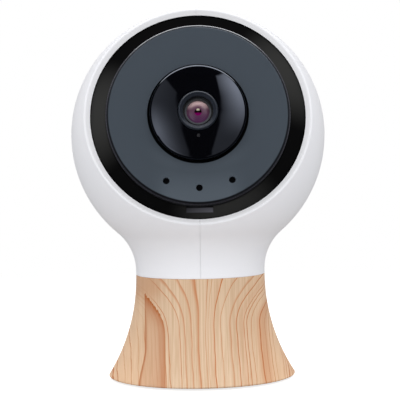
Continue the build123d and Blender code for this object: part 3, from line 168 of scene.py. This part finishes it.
def new_material(name):
    """Empty material with a principled surface."""
    made = bpy.data.materials.new(name)
    made.use_nodes = True
    tree = made.node_tree
    return made, tree, tree.nodes["Principled BSDF"]


def dress(tree, surface, colour, roughness, specular=0.5):
    """Gives a surface its colour, its roughness and the strength of its reflections."""
    give(tree, surface.inputs["Base Color"], colour)
    give(tree, surface.inputs["Roughness"], roughness)
    surface.inputs["Specular IOR Level"].default_value = specular


def bump(tree, surface, height, depth, strength=1.0):
    """Raises a surface by a depth in micrometres times a height."""
    made = add_node(tree, "ShaderNodeBump", Height=height, Distance=depth * MICROMETRE, Strength=strength)
    tree.links.new(made.outputs[0], surface.inputs["Normal"])


def moulded(name, colours, roughness, grain, depth, specular=0.5, settings=None):
    """Moulded, ground or plated finish: a slightly uneven colour and gloss, and a fine skin."""
    made, tree, surface = new_material(name)
    spot = place(tree)
    skin = noise(tree, spot, grain)
    colour = mix(tree, cloud(tree, spot), *colours)
    dress(tree, surface, colour, uneven(tree, skin, *roughness), specular)
    bump(tree, surface, skin, depth)
    for setting, value in (settings or {}).items():
        surface.inputs[setting].default_value = value
    return made


# Materials of the outside
# Lengths are in millimetres, and a pair of values says where a change begins and where it ends

def white_plastic():
    """White moulding with a satin gloss, and painted light on the lip of the opening: a lighter colour that
    lifts the shade the black ball casts there.
    """
    ball_colours = (0.86, 0.865, 0.905, 1), (0.88, 0.885, 0.92, 1)
    # Painted light: the lip of the opening is coloured lighter than the ball
    painted_lip_light_colour = (0.96, 0.965, 1.0, 1)
    lip_radius = 39.8, 39.5
    made, tree, surface = new_material("white_plastic")
    spot = place(tree)
    skin = noise(tree, spot, scale=2.5)
    from_middle = vector_maths(tree, "DISTANCE", spot, HEAD_CENTRE * MILLIMETRES, "Value")
    ball = mix(tree, cloud(tree, spot), *ball_colours)
    colour = mix(tree, ramp(tree, from_middle, *lip_radius), ball, painted_lip_light_colour)
    dress(tree, surface, colour, uneven(tree, skin, low=0.31, high=0.37), specular=0.06)
    bump(tree, surface, skin, depth=2.0)
    return made


def wood_grain(tree, spot, axes):
    """Place across the grain in millimetres: upright, fanning out towards the top, wandering a little."""
    fan_height = 18.0, 32.6
    fan_spread = 1.04
    slow_wander = 2.4
    quick_wander = 0.3
    lean = 0.08
    x, y, z = axes
    rise = ramp(tree, z, *fan_height, smooth=False)
    fan = scaled(tree, times(tree, rise, rise), fan_spread, 1.0)
    slow = noise(tree, stretch(tree, spot, along_z=0.35), scale=0.07)
    quick = noise(tree, stretch(tree, spot, along_z=0.25), scale=0.5, detail=1.0)
    grain = maths(tree, "DIVIDE", x, fan)
    grain = scaled(tree, maths(tree, "SUBTRACT", slow, NOISE_MIDDLE), slow_wander, grain)
    grain = scaled(tree, maths(tree, "SUBTRACT", quick, NOISE_MIDDLE), quick_wander, grain)
    return scaled(tree, y, lean, grain)


def wood_lines(tree, grain):
    """Darkness of the growth lines: a fine line and a soft band for each year, and one wide streak."""
    rings_per_millimetre = 0.5
    ring_unevenness = 3.0
    line_start = 0.80, 0.93
    line_end = 1.0, 0.95
    line_strength = 0.55
    band_strength = 0.34
    band_power = 2.0
    streak_left = 15.6, 17.4
    streak_right = 21.0, 19.4
    streak_strength = 0.35
    wander = noise_along(tree, grain, scale=0.3, detail=1.0)
    rings = scaled(tree, wander, ring_unevenness, times(tree, grain, rings_per_millimetre))
    phase = maths(tree, "FRACT", rings)
    number = maths(tree, "FLOOR", rings)
    tone = add_node(tree, "ShaderNodeTexWhiteNoise", {"noise_dimensions": "1D"}, W=number).outputs["Value"]
    line = times(tree, ramp(tree, phase, *line_start), ramp(tree, phase, *line_end))
    line = maths(tree, "MULTIPLY", line, scaled(tree, tone, line_strength, line_strength), clamp=True)
    band = times(tree, maths(tree, "POWER", phase, band_power), times(tree, tone, band_strength))
    streak = times(tree, ramp(tree, grain, *streak_left), ramp(tree, grain, *streak_right))
    dark = maths(tree, "ADD", line, band, clamp=True)
    return maths(tree, "MAXIMUM", dark, times(tree, streak, streak_strength))


def wood_patch(tree, spot, axes, fibre):
    """Where the broad dark ring with a pointed top lies on the front, and how dark it is there."""
    left_height = 0.0, 12.0
    left_places = -19.6, -17.5
    right_place = -11.0
    bend_height = 15.0, 27.8
    bend_width = -6.8
    bend_power = 2.2
    fray_width = 2.6
    left_rim = 0.0, 0.03
    right_rim = 1.0, 0.97
    least_shade = 0.26
    right_shade = 0.6
    right_power = 4.0
    top_shade = 0.8
    top_power = 2.0
    left_line = 0.16, 0.04
    left_line_strength = 0.85
    fibre_span = 0.25, 0.75
    fibre_shade = 0.8, 1.1
    x, y, z = axes
    ragged = noise(tree, stretch(tree, spot, along_z=0.2), scale=1.6, detail=3.0)
    rise = ramp(tree, z, *bend_height, smooth=False)
    bend = times(tree, maths(tree, "POWER", rise, bend_power), bend_width)
    fray = times(tree, maths(tree, "SUBTRACT", ragged, NOISE_MIDDLE), times(tree, rise, fray_width))
    right_edge = plus(tree, bend, fray, right_place)
    left_edge = ramp(tree, z, *left_height, *left_places)
    width = maths(tree, "SUBTRACT", right_edge, left_edge)
    across = maths(tree, "DIVIDE", maths(tree, "SUBTRACT", x, left_edge), width)
    inside = times(tree, ramp(tree, across, *left_rim), ramp(tree, across, *right_rim))
    inside = times(tree, inside, maths(tree, "LESS_THAN", y, 0.0), maths(tree, "GREATER_THAN", width, 0.0))
    depth = scaled(tree, maths(tree, "POWER", across, right_power), right_shade, least_shade)
    depth = scaled(tree, maths(tree, "POWER", rise, top_power), top_shade, depth)
    depth = maths(tree, "MAXIMUM", depth, times(tree, ramp(tree, across, *left_line), left_line_strength))
    depth = maths(tree, "MULTIPLY", depth, ramp(tree, fibre, *fibre_span, *fibre_shade), clamp=True)
    return inside, depth


def wood_base():
    """Light wood with fine fibres, dark growth lines, warmer sides and one broad dark ring on the front."""
    pale_colours = (0.63, 0.428, 0.272, 1), (0.75, 0.56, 0.39, 1)
    side_colour = (0.89, 0.585, 0.36, 1)
    side_places = 10.0, 26.0
    side_strength = 0.6
    line_colour = (0.53, 0.145, 0.02, 1)
    line_loss = -0.8
    corner_places = -13.0, -17.0
    corner_height = 14.0, 20.0
    warm_colour = (0.53, 0.24, 0.11, 1)
    warm_places = -10.0, -15.0
    warm_height = 23.0, 29.0
    warm_strength = 0.5
    patch_colour = (0.46, 0.125, 0.02, 1)
    gloss_span = 0.2, 0.8
    gloss_roughness = 0.45, 0.58
    made, tree, surface = new_material("wood_base")
    spot = place(tree)
    axes = add_node(tree, "ShaderNodeSeparateXYZ", Vector=spot).outputs
    x = axes["X"]
    z = axes["Z"]
    threads = stretch(tree, spot, along_y=0.06, along_z=0.008)
    fibre = noise(tree, threads, scale=2.6, detail=3.0, roughness=0.6)
    inside, depth = wood_patch(tree, spot, axes, fibre)
    corner = times(tree, ramp(tree, x, *corner_places), ramp(tree, z, *corner_height))
    dark = wood_lines(tree, wood_grain(tree, spot, axes))
    dark = times(tree, dark, scaled(tree, inside, line_loss, 1.0), scaled(tree, corner, line_loss, 1.0))
    side = ramp(tree, maths(tree, "ABSOLUTE", x), *side_places)
    warm = times(tree, ramp(tree, x, *warm_places), ramp(tree, z, *warm_height))
    colour = mix(tree, ramp(tree, fibre, *NOISE_SPAN), *pale_colours)
    colour = mix(tree, times(tree, side, side_strength), colour, side_colour)
    colour = mix(tree, dark, colour, line_colour)
    colour = mix(tree, times(tree, warm, warm_strength), colour, warm_colour)
    colour = mix(tree, times(tree, inside, depth), colour, patch_colour)
    dress(tree, surface, colour, ramp(tree, fibre, *gloss_span, *gloss_roughness), specular=0.3)
    bump(tree, surface, maths(tree, "SUBTRACT", fibre, dark), depth=8.0, strength=0.5)
    return made


def slate_plastic():
    """Matte slate-grey face with painted light low down and under the bezel, a painted dark reflection on
    the bevel, a painted highlight line at the outer edge and painted shade in the groove at the inner edge.
    """
    face_colours = (0.0435, 0.0545, 0.0685, 1), (0.0465, 0.0575, 0.0715, 1)
    # Painted light: the face is coloured lighter low down, and just under the bezel where its shadow falls
    painted_light_colour = (0.068, 0.083, 0.101, 1)
    low_height = -13.0, -26.0
    low_width = 15.0, 8.0
    near_radius = 21.0, 15.5
    near_height = -8.0, -15.0
    near_strength = 0.6
    # Painted dark: a painted dark reflection on the bevel, and painted shade in the groove at the inner edge
    painted_dark_colour = (0.004, 0.004, 0.006, 1)
    groove_shade_radius = 15.2, 15.12
    bevel_radius = 26.55, 26.9
    bevel_roughness = 0.45
    # Painted highlight line along the panel's outer edge, stronger towards the top; the line is also
    # glossier
    highlight_line_colour = (0.050, 0.050, 0.062, 1)
    highlight_line_radius = 27.2, 27.35
    highlight_line_depth = 27.3, 27.6
    highlight_line_height = -26.0, 0.0
    highlight_line_strength = 0.45, 1.0
    highlight_line_polish = -0.65
    cool_tint = (0.75, 0.86, 1.0, 1)
    made, tree, surface = new_material("slate_plastic")
    spot = place(tree)
    skin = noise(tree, spot, scale=3.0)
    radius = eye_radius(tree, spot)
    up = along(tree, spot, EYE_UP)
    sideways = maths(tree, "ABSOLUTE", along(tree, spot, EYE_RIGHT))
    # Masks of the painted light low down and under the bezel
    low = times(tree, ramp(tree, up, *low_height), ramp(tree, sideways, *low_width))
    painted_light_under_bezel = times(tree, ramp(tree, radius, *near_radius), ramp(tree, up, *near_height, 0.0, near_strength))
    bevel = ramp(tree, radius, *bevel_radius)
    # Mask of the painted highlight line at the outer edge
    painted_highlight_line = ramp(tree, along(tree, spot, EYE_AXIS), *highlight_line_depth)
    painted_highlight_line = times(tree, painted_highlight_line, ramp(tree, radius, *highlight_line_radius))
    strength = ramp(tree, up, *highlight_line_height, *highlight_line_strength)
    colour = mix(tree, cloud(tree, spot), *face_colours)
    colour = mix(tree, maths(tree, "MAXIMUM", low, painted_light_under_bezel), colour, painted_light_colour)
    # Painted dark reflection on the bevel and painted shade in the groove
    colour = mix(tree, maths(tree, "MAXIMUM", bevel, ramp(tree, radius, *groove_shade_radius)), colour, painted_dark_colour)
    colour = mix(tree, times(tree, painted_highlight_line, strength), colour, highlight_line_colour)
    roughness = scaled(tree, bevel, bevel_roughness, uneven(tree, skin, low=0.44, high=0.5))
    dress(tree, surface, colour, scaled(tree, painted_highlight_line, highlight_line_polish, roughness), specular=0.26)
    surface.inputs["Specular Tint"].default_value = cool_tint
    bump(tree, surface, skin, depth=2.0)
    return made


def notch_floor_painted_light(tree, spot):
    """Painted light on the flat floor of the finger notch: how pale it is painted, brightest at its right
    end.
    """
    floor_back = 23.3, 23.4
    floor_front = 23.7, 23.6
    half_width = 4.3, 3.7
    top_height = -27.4, -27.8
    low_height = -29.2, -28.8
    ends = -4.0, 4.0
    end_strength = 0.25, 0.85
    across = along(tree, spot, EYE_RIGHT)
    depth = along(tree, spot, EYE_AXIS)
    up = along(tree, spot, EYE_UP)
    floor = times(tree, ramp(tree, depth, *floor_back), ramp(tree, depth, *floor_front))
    floor = times(tree, floor, ramp(tree, maths(tree, "ABSOLUTE", across), *half_width))
    floor = times(tree, floor, ramp(tree, up, *top_height), ramp(tree, up, *low_height))
    return times(tree, floor, ramp(tree, across, *ends, *end_strength, smooth=False))


def painted_ball_sheen(tree, spot):
    """Painted sheen on three sides of the ball that shows round the panel."""
    bearings_and_strengths = (177.0, 1.0), (27.0, 0.93), (-74.0, 0.68)
    facing_span = 0.81, 1.045
    ring_depth = 12.0, 15.0
    ring_radius = 27.4, 27.8
    radius = eye_radius(tree, spot)
    painted_sheen = 0.0
    for bearing, strength in bearings_and_strengths:
        turn = math.radians(bearing)
        direction = EYE_RIGHT * math.cos(turn) + EYE_UP * math.sin(turn)
        facing = maths(tree, "DIVIDE", along(tree, spot, direction), radius)
        painted_sheen = scaled(tree, ramp(tree, facing, *facing_span), strength, painted_sheen)
    painted_sheen = times(tree, painted_sheen, ramp(tree, along(tree, spot, EYE_AXIS), *ring_depth))
    return times(tree, painted_sheen, ramp(tree, radius, *ring_radius))


def satin_black():
    """Dull black moulding, with a painted sheen on the ball and painted light on the floor of its finger
    notch.
    """
    black_colours = (0.0030, 0.0030, 0.0032, 1), (0.0044, 0.0044, 0.0046, 1)
    # Painted sheen: the colour of the lighter sides of the ball
    painted_sheen_colour = (0.040, 0.040, 0.039, 1)
    # Painted light: the pale colour of the notch floor
    painted_floor_light_colour = (0.115, 0.115, 0.138, 1)
    made, tree, surface = new_material("satin_black")
    spot = place(tree)
    skin = noise(tree, spot, scale=4.0)
    colour = mix(tree, skin, *black_colours)
    colour = mix(tree, painted_ball_sheen(tree, spot), colour, painted_sheen_colour)
    colour = mix(tree, notch_floor_painted_light(tree, spot), colour, painted_floor_light_colour)
    dress(tree, surface, colour, uneven(tree, skin, low=0.42, high=0.52), specular=0.0)
    bump(tree, surface, skin, depth=6.0)
    return made


def lens_grey():
    """Turned ring round the lens, with fine tool marks."""
    colours = (0.012, 0.015, 0.022, 1), (0.020, 0.025, 0.036, 1)
    mark_roughness = 0.34, 0.44
    made, tree, surface = new_material("lens_grey")
    turned = noise_along(tree, eye_radius(tree, place(tree)), scale=5.0, detail=2.0)
    marks = ramp(tree, turned, *NOISE_SPAN)
    roughness = ramp(tree, marks, 0.0, 1.0, *mark_roughness)
    dress(tree, surface, mix(tree, marks, *colours), roughness, specular=0.4)
    bump(tree, surface, marks, depth=8.0, strength=0.5)
    return made


def lens_black():
    """Dull black inside the lens, with a painted grey highlight on the lip round the glass, and painted
    shade that darkens it at the top.
    """
    black_colours = (0.006, 0.007, 0.008, 1), (0.011, 0.012, 0.014, 1)
    # Painted highlight: the grey lip round the glass, with painted shade darkening it towards the top
    painted_lip_light_colour = (0.058, 0.060, 0.070, 1)
    lip_radius = 4.0, 3.88
    shade_height = 3.4, -1.0
    shade_strength = 0.25, 1.0
    made, tree, surface = new_material("lens_black")
    spot = place(tree)
    skin = noise(tree, spot, scale=2.0)
    painted_top_shade = ramp(tree, along(tree, spot, EYE_UP), *shade_height, *shade_strength)
    painted_lip_highlight = times(tree, ramp(tree, eye_radius(tree, spot), *lip_radius), painted_top_shade)
    colour = mix(tree, painted_lip_highlight, mix(tree, skin, *black_colours), painted_lip_light_colour)
    dress(tree, surface, colour, uneven(tree, skin, low=0.4, high=0.52), specular=0.3)
    bump(tree, surface, skin, depth=4.0)
    return made


def coated_glass():
    """Front lens: a violet coating with faint rings and painted shade that darkens it towards the bottom, a
    painted pale reflection at the top, and the lens stop in the middle with a painted magenta reflection low
    down and a painted glint near its top.
    """
    # Painted shade: the coating is coloured darker towards the bottom
    lit_and_shaded_coat_colours = (0.105, 0.045, 0.078, 1), (0.075, 0.022, 0.074, 1)
    coat_shade_height = 1.2, -2.6
    # Painted reflection: a pale patch at the top of the coating
    painted_reflection_colour = (0.78, 0.55, 0.56, 1)
    pale_height = 0.5, 3.0
    pale_radius = 1.2, 2.8
    ring_colour = (0.20, 0.13, 0.17, 1)
    ring_waves = 13.0
    ring_strength = 0.05
    # The stop is dark, with a painted magenta reflection in its lower part
    dark_stop_and_reflection_colours = (0.004, 0.001, 0.002, 1), (0.15, 0.001, 0.08, 1)
    stop_height = 0.0, -0.5
    stop_radius = 1.2, 0.95
    # Painted glint near the top of the stop
    painted_glint_colour = (0.55, 0.52, 0.38, 1)
    glint_height = 0.3, 0.7
    glint_width = 0.65, 0.2
    made, tree, surface = new_material("coated_glass")
    spot = place(tree)
    skin = noise(tree, spot, scale=0.8)
    radius = eye_radius(tree, spot)
    up = along(tree, spot, EYE_UP)
    sideways = maths(tree, "ABSOLUTE", along(tree, spot, EYE_RIGHT))
    painted_reflection = times(tree, ramp(tree, up, *pale_height), ramp(tree, radius, *pale_radius))
    rings = maths(tree, "SINE", times(tree, radius, ring_waves))
    coat = mix(tree, ramp(tree, up, *coat_shade_height), *lit_and_shaded_coat_colours)
    coat = mix(tree, painted_reflection, coat, painted_reflection_colour)
    coat = mix(tree, scaled(tree, rings, ring_strength, ring_strength), coat, ring_colour)
    painted_glint = times(tree, ramp(tree, up, *glint_height), ramp(tree, sideways, *glint_width))
    stop = mix(tree, ramp(tree, up, *stop_height), *dark_stop_and_reflection_colours)
    stop = mix(tree, painted_glint, stop, painted_glint_colour)
    colour = mix(tree, ramp(tree, radius, *stop_radius), coat, stop)
    dress(tree, surface, colour, uneven(tree, skin, low=0.03, high=0.06), specular=0.12)
    return made


# Materials of the underside and the inside

def circuit_board():
    """Green solder mask over copper tracks."""
    mask_colours = (0.008, 0.075, 0.028, 1), (0.012, 0.095, 0.036, 1)
    track_colour = (0.03, 0.17, 0.07, 1)
    track_span = 0.09, 0.03
    square_cells = {"distance": "MANHATTAN", "feature": "DISTANCE_TO_EDGE"}
    made, tree, surface = new_material("circuit_board")
    spot = place(tree)
    skin = noise(tree, spot, scale=0.3)
    cells = add_node(tree, "ShaderNodeTexVoronoi", square_cells, Vector=spot, Scale=0.45)
    track = ramp(tree, cells.outputs["Distance"], *track_span)
    colour = mix(tree, track, mix(tree, skin, *mask_colours), track_colour)
    dress(tree, surface, colour, uneven(tree, skin, low=0.28, high=0.4))
    bump(tree, surface, track, depth=30.0)
    return made


# Plain finishes: two colours, the range of roughness, the scale of the skin and its depth in micrometres

plain_finishes = {
    "gloss_black": dict(
        colours=((0.0014, 0.0015, 0.0024, 1), (0.0018, 0.0019, 0.0030, 1)),
        roughness=(0.025, 0.045),
        grain=0.8,
        depth=0.4,
        settings={"Specular Tint": (0.72, 0.80, 1.0, 1)},
    ),
    "clear_glass": dict(
        colours=((0.86, 0.90, 0.93, 1), (0.90, 0.93, 0.95, 1)),
        roughness=(0.02, 0.04),
        grain=1.0,
        depth=0.2,
        settings={"Transmission Weight": 0.9, "IOR": 1.6},
    ),
    # Coloured near black: painted shade that makes the light pipe and status light read as dark holes
    "clear_plastic": dict(
        colours=((0.001, 0.001, 0.0015, 1), (0.002, 0.002, 0.0025, 1)),
        roughness=(0.26, 0.34),
        grain=1.5,
        depth=2.0,
        specular=0.02,
    ),
    "sensor_plastic": dict(
        colours=((0.012, 0.012, 0.015, 1), (0.016, 0.016, 0.020, 1)),
        roughness=(0.26, 0.34),
        grain=2.0,
        depth=2.0,
    ),
    "black_rubber": dict(
        colours=((0.003, 0.003, 0.003, 1), (0.006, 0.006, 0.006, 1)),
        roughness=(0.67, 0.83),
        grain=1.2,
        depth=20.0,
        specular=0.1,
    ),
    "screw_steel": dict(
        colours=((0.52, 0.52, 0.53, 1), (0.60, 0.60, 0.60, 1)),
        roughness=(0.24, 0.36),
        grain=2.0,
        depth=4.0,
        settings=METAL,
    ),
    "plated_steel": dict(
        colours=((0.58, 0.58, 0.57, 1), (0.66, 0.66, 0.64, 1)),
        roughness=(0.22, 0.34),
        grain=2.0,
        depth=4.0,
        settings=METAL,
    ),
    "ballast_steel": dict(
        colours=((0.26, 0.26, 0.27, 1), (0.33, 0.33, 0.33, 1)),
        roughness=(0.34, 0.5),
        grain=1.0,
        depth=10.0,
        settings=METAL,
    ),
    "chip_black": dict(
        colours=((0.002, 0.002, 0.003, 1), (0.004, 0.004, 0.005, 1)),
        roughness=(0.49, 0.61),
        grain=2.5,
        depth=4.0,
        specular=0.1,
    ),
    "dark_resin": dict(
        colours=((0.015, 0.008, 0.018, 1), (0.022, 0.012, 0.026, 1)),
        roughness=(0.09, 0.15),
        grain=1.0,
        depth=2.0,
    ),
    "grey_plastic": dict(
        colours=((0.045, 0.045, 0.048, 1), (0.060, 0.060, 0.064, 1)),
        roughness=(0.44, 0.56),
        grain=2.0,
        depth=6.0,
    ),
    "bush_plastic": dict(
        colours=((0.70, 0.68, 0.62, 1), (0.75, 0.73, 0.68, 1)),
        roughness=(0.35, 0.45),
        grain=2.0,
        depth=4.0,
    ),
    "cone_paper": dict(
        colours=((0.015, 0.015, 0.015, 1), (0.030, 0.029, 0.028, 1)),
        roughness=(0.79, 0.91),
        grain=1.4,
        depth=30.0,
    ),
}


# Every material by its slot

materials = {
    "white_plastic": white_plastic(),
    "wood_base": wood_base(),
    "satin_black": satin_black(),
    "slate_plastic": slate_plastic(),
    "lens_grey": lens_grey(),
    "lens_black": lens_black(),
    "coated_glass": coated_glass(),
    "circuit_board": circuit_board(),
}

for finish_name, finish in plain_finishes.items():
    materials[finish_name] = moulded(finish_name, **finish)

for subpart in frame["record"]["subparts"]:
    for material_slot in frame["nodes"][subpart["node"]].material_slots:
        material_slot.material = materials[subpart["material_slot"]]


# Floor: pale, white to the camera, with the object's soft shadow
# Its lengths are in metres

def build_floor():
    """Round floor whose rim fades into the white background."""
    radius = 0.45
    drop = 0.0001
    corners = 96
    rim_fade = 0.12, 0.4
    paper_colours = (0.56, 0.56, 0.56, 1), (0.58, 0.58, 0.58, 1)
    glow_strength = 0.78
    made, tree, surface = new_material("studio_floor")
    tree.nodes.remove(surface)
    spot = tree.nodes.new("ShaderNodeTexCoord").outputs["Object"]
    distance = vector_maths(tree, "DISTANCE", spot, (0.0, 0.0, 0.0), "Value")
    path = tree.nodes.new("ShaderNodeLightPath").outputs
    seen = maths(tree, "MAXIMUM", path["Is Camera Ray"], path["Is Transmission Ray"])
    paper_colour = mix(tree, noise(tree, spot, scale=40.0), *paper_colours)
    paper = add_node(tree, "ShaderNodeBsdfDiffuse", Color=paper_colour)
    glow = add_node(tree, "ShaderNodeEmission", Color=WHITE, Strength=times(tree, seen, glow_strength))
    rim = add_node(tree, "ShaderNodeEmission", Color=WHITE, Strength=seen)
    lit = add_node(tree, "ShaderNodeAddShader")
    tree.links.new(paper.outputs[0], lit.inputs[0])
    tree.links.new(glow.outputs[0], lit.inputs[1])
    fade = add_node(tree, "ShaderNodeMixShader", Fac=ramp(tree, distance, *rim_fade))
    tree.links.new(lit.outputs[0], fade.inputs[1])
    tree.links.new(rim.outputs[0], fade.inputs[2])
    tree.links.new(fade.outputs[0], tree.nodes["Material Output"].inputs["Surface"])
    middle = (0, 0, -drop)
    bpy.ops.mesh.primitive_circle_add(vertices=corners, radius=radius, fill_type="NGON", location=middle)
    floor = bpy.context.object
    floor.name = "studio_floor"
    floor.data.materials.append(made)
    floor.visible_glossy = False


build_floor()


# Light: a white tent, and two tall softboxes and one overhead that polished surfaces mirror
# Azimuths and elevations are in degrees

def right_softbox(tree, azimuth, elevation):
    """Tall softbox on the right whose near edge slants in at the bottom, brightest far out and high up."""
    slant_height = -4.0, 26.0
    near_edge = 8.0, 18.0
    near_blur = -0.7, 0.7
    far_edge = 46.0, 37.0
    top_edge = 51.0, 49.4
    low_edge = -30.0, -12.0
    gain_width = 0.0, 14.0
    gain_height = 6.0, 40.0
    gain = 4.5
    glow_height = 34.0, 46.0
    glow_strength = 0.5, 1.4
    inward = maths(tree, "SUBTRACT", azimuth, ramp(tree, elevation, *slant_height, *near_edge, smooth=False))
    shape = times(tree, ramp(tree, inward, *near_blur), ramp(tree, azimuth, *far_edge))
    shape = times(tree, shape, ramp(tree, elevation, *top_edge), ramp(tree, elevation, *low_edge))
    far = ramp(tree, inward, *gain_width, smooth=False)
    bright = times(tree, far, ramp(tree, elevation, *gain_height, 0.0, gain))
    return times(tree, plus(tree, bright, ramp(tree, elevation, *glow_height, *glow_strength)), shape)


def left_softbox(tree, azimuth, elevation):
    """Tall softbox on the left, cut off slantwise at the top, brightest at its far side and bottom."""
    slant_height = -2.0, 30.0
    near_edge = 6.0, 16.5
    near_blur = -1.2, 1.2
    far_edge = 46.0, 37.0
    top_bearing = 16.0
    top_slope = -0.75
    top_edge = 39.5, 37.5
    low_edge = -30.0, -12.0
    gain_width = 0.0, 16.0
    gain_height = 34.0, 12.0
    gain = 2.4
    far_glow = 0.3
    near_glow = 0.35
    bearing = times(tree, azimuth, -1.0)
    inward = maths(tree, "SUBTRACT", bearing, ramp(tree, elevation, *slant_height, *near_edge, smooth=False))
    top = scaled(tree, maths(tree, "SUBTRACT", bearing, top_bearing), top_slope, elevation)
    shape = times(tree, ramp(tree, inward, *near_blur), ramp(tree, bearing, *far_edge))
    shape = times(tree, shape, ramp(tree, top, *top_edge), ramp(tree, elevation, *low_edge))
    far = ramp(tree, inward, *gain_width, smooth=False)
    bright = times(tree, far, far, ramp(tree, elevation, *gain_height, 0.0, gain))
    return times(tree, plus(tree, bright, scaled(tree, far, far_glow, near_glow)), shape)


def mirrored_studio(tree, way):
    """Brightness of the dark studio in a direction: softboxes, overhead light, small key and rear wall."""
    overhead_lean = 0.22, 0.975
    overhead_edge = 0.735, 0.79
    overhead_strength = 6.0
    key_low = 32.0, 34.0
    key_top = 38.0, 36.5
    key_width = 4.5, 3.0
    key_strength = 2.4
    wall_start = 0.3, 0.6
    wall_top = 45.0, 20.0
    wall_strength = 0.5
    x, y, z = add_node(tree, "ShaderNodeSeparateXYZ", Vector=way).outputs
    azimuth = maths(tree, "DEGREES", maths(tree, "ARCTAN2", x, times(tree, y, -1.0)))
    elevation = maths(tree, "DEGREES", maths(tree, "ARCSINE", z))
    back_lean, up_lean = overhead_lean
    overhead = ramp(tree, scaled(tree, y, back_lean, times(tree, z, up_lean)), *overhead_edge)
    key = times(tree, ramp(tree, elevation, *key_low), ramp(tree, elevation, *key_top))
    key = times(tree, key, ramp(tree, maths(tree, "ABSOLUTE", azimuth), *key_width))
    wall = times(tree, ramp(tree, y, *wall_start), ramp(tree, elevation, *wall_top))
    return plus(
        tree,
        right_softbox(tree, azimuth, elevation),
        left_softbox(tree, azimuth, elevation),
        times(tree, overhead, overhead_strength),
        times(tree, key, key_strength),
        times(tree, wall, wall_strength),
    )


def build_world():
    """White to the camera, an even tent to matte surfaces and a dark studio to polished ones."""
    tent_rise = -0.1, 1.0
    tent_strength = 0.73, 1.2
    world = bpy.data.worlds.new("studio")
    world.use_nodes = True
    world.cycles.sampling_method = "NONE"
    bpy.context.scene.world = world
    tree = world.node_tree
    way = tree.nodes.new("ShaderNodeTexCoord").outputs["Generated"]
    rise = add_node(tree, "ShaderNodeSeparateXYZ", Vector=way).outputs["Z"]
    tent = ramp(tree, rise, *tent_rise, *tent_strength, smooth=False)
    path = tree.nodes.new("ShaderNodeLightPath").outputs
    sharp = maths(tree, "MAXIMUM", path["Is Glossy Ray"], path["Is Transmission Ray"])
    room = mix(tree, sharp, tent, mirrored_studio(tree, way), data="FLOAT", ending="Float")
    background = tree.nodes["Background"]
    background.inputs["Color"].default_value = WHITE
    give(tree, background.inputs["Strength"], maths(tree, "MAXIMUM", room, path["Is Camera Ray"]))


build_world()


def add_lamp(name, offset, width, energy):
    """Square lamp at an offset from the head that faces it and lights matte surfaces only."""
    data = bpy.data.lights.new(name, "AREA")
    data.size = width
    data.energy = energy
    lamp = bpy.data.objects.new(name, data)
    lamp.location = HEAD_CENTRE + Vector(offset)
    lamp.rotation_euler = Vector(offset).to_track_quat("Z", "Y").to_euler()
    lamp.visible_camera = False
    lamp.visible_glossy = False
    bpy.context.scene.collection.objects.link(lamp)


add_lamp("overhead_lamp", offset=(0.0, -0.08, 0.8), width=0.6, energy=0.5)
add_lamp("front_lamp", offset=(0.0, -0.98, 0.10), width=0.5, energy=2.5)


# Camera at the photograph's viewing angle

def build_camera():
    """Long lens a little below the middle of the head, tipped slightly down and to one side."""
    sensor_width = 36.0
    focal_length = 127.0
    stand_point = (-0.00221, -0.448, 0.07125)
    turned_right = math.radians(-0.32)
    tipped_down = math.radians(1.95)
    rolled = math.radians(-1.0)
    level = math.radians(90.0)
    data = bpy.data.cameras.new("photo_camera")
    data.sensor_width = sensor_width
    data.lens = focal_length
    camera = bpy.data.objects.new("photo_camera", data)
    bpy.context.scene.collection.objects.link(camera)
    spot = Matrix.Translation(stand_point)
    turn = Matrix.Rotation(turned_right, 4, "Z")
    pitch = Matrix.Rotation(level - tipped_down, 4, "X")
    roll = Matrix.Rotation(rolled, 4, "Z")
    camera.matrix_world = spot @ turn @ pitch @ roll
    bpy.context.scene.camera = camera


build_camera()
bpy.context.scene.view_settings.view_transform = "Standard"
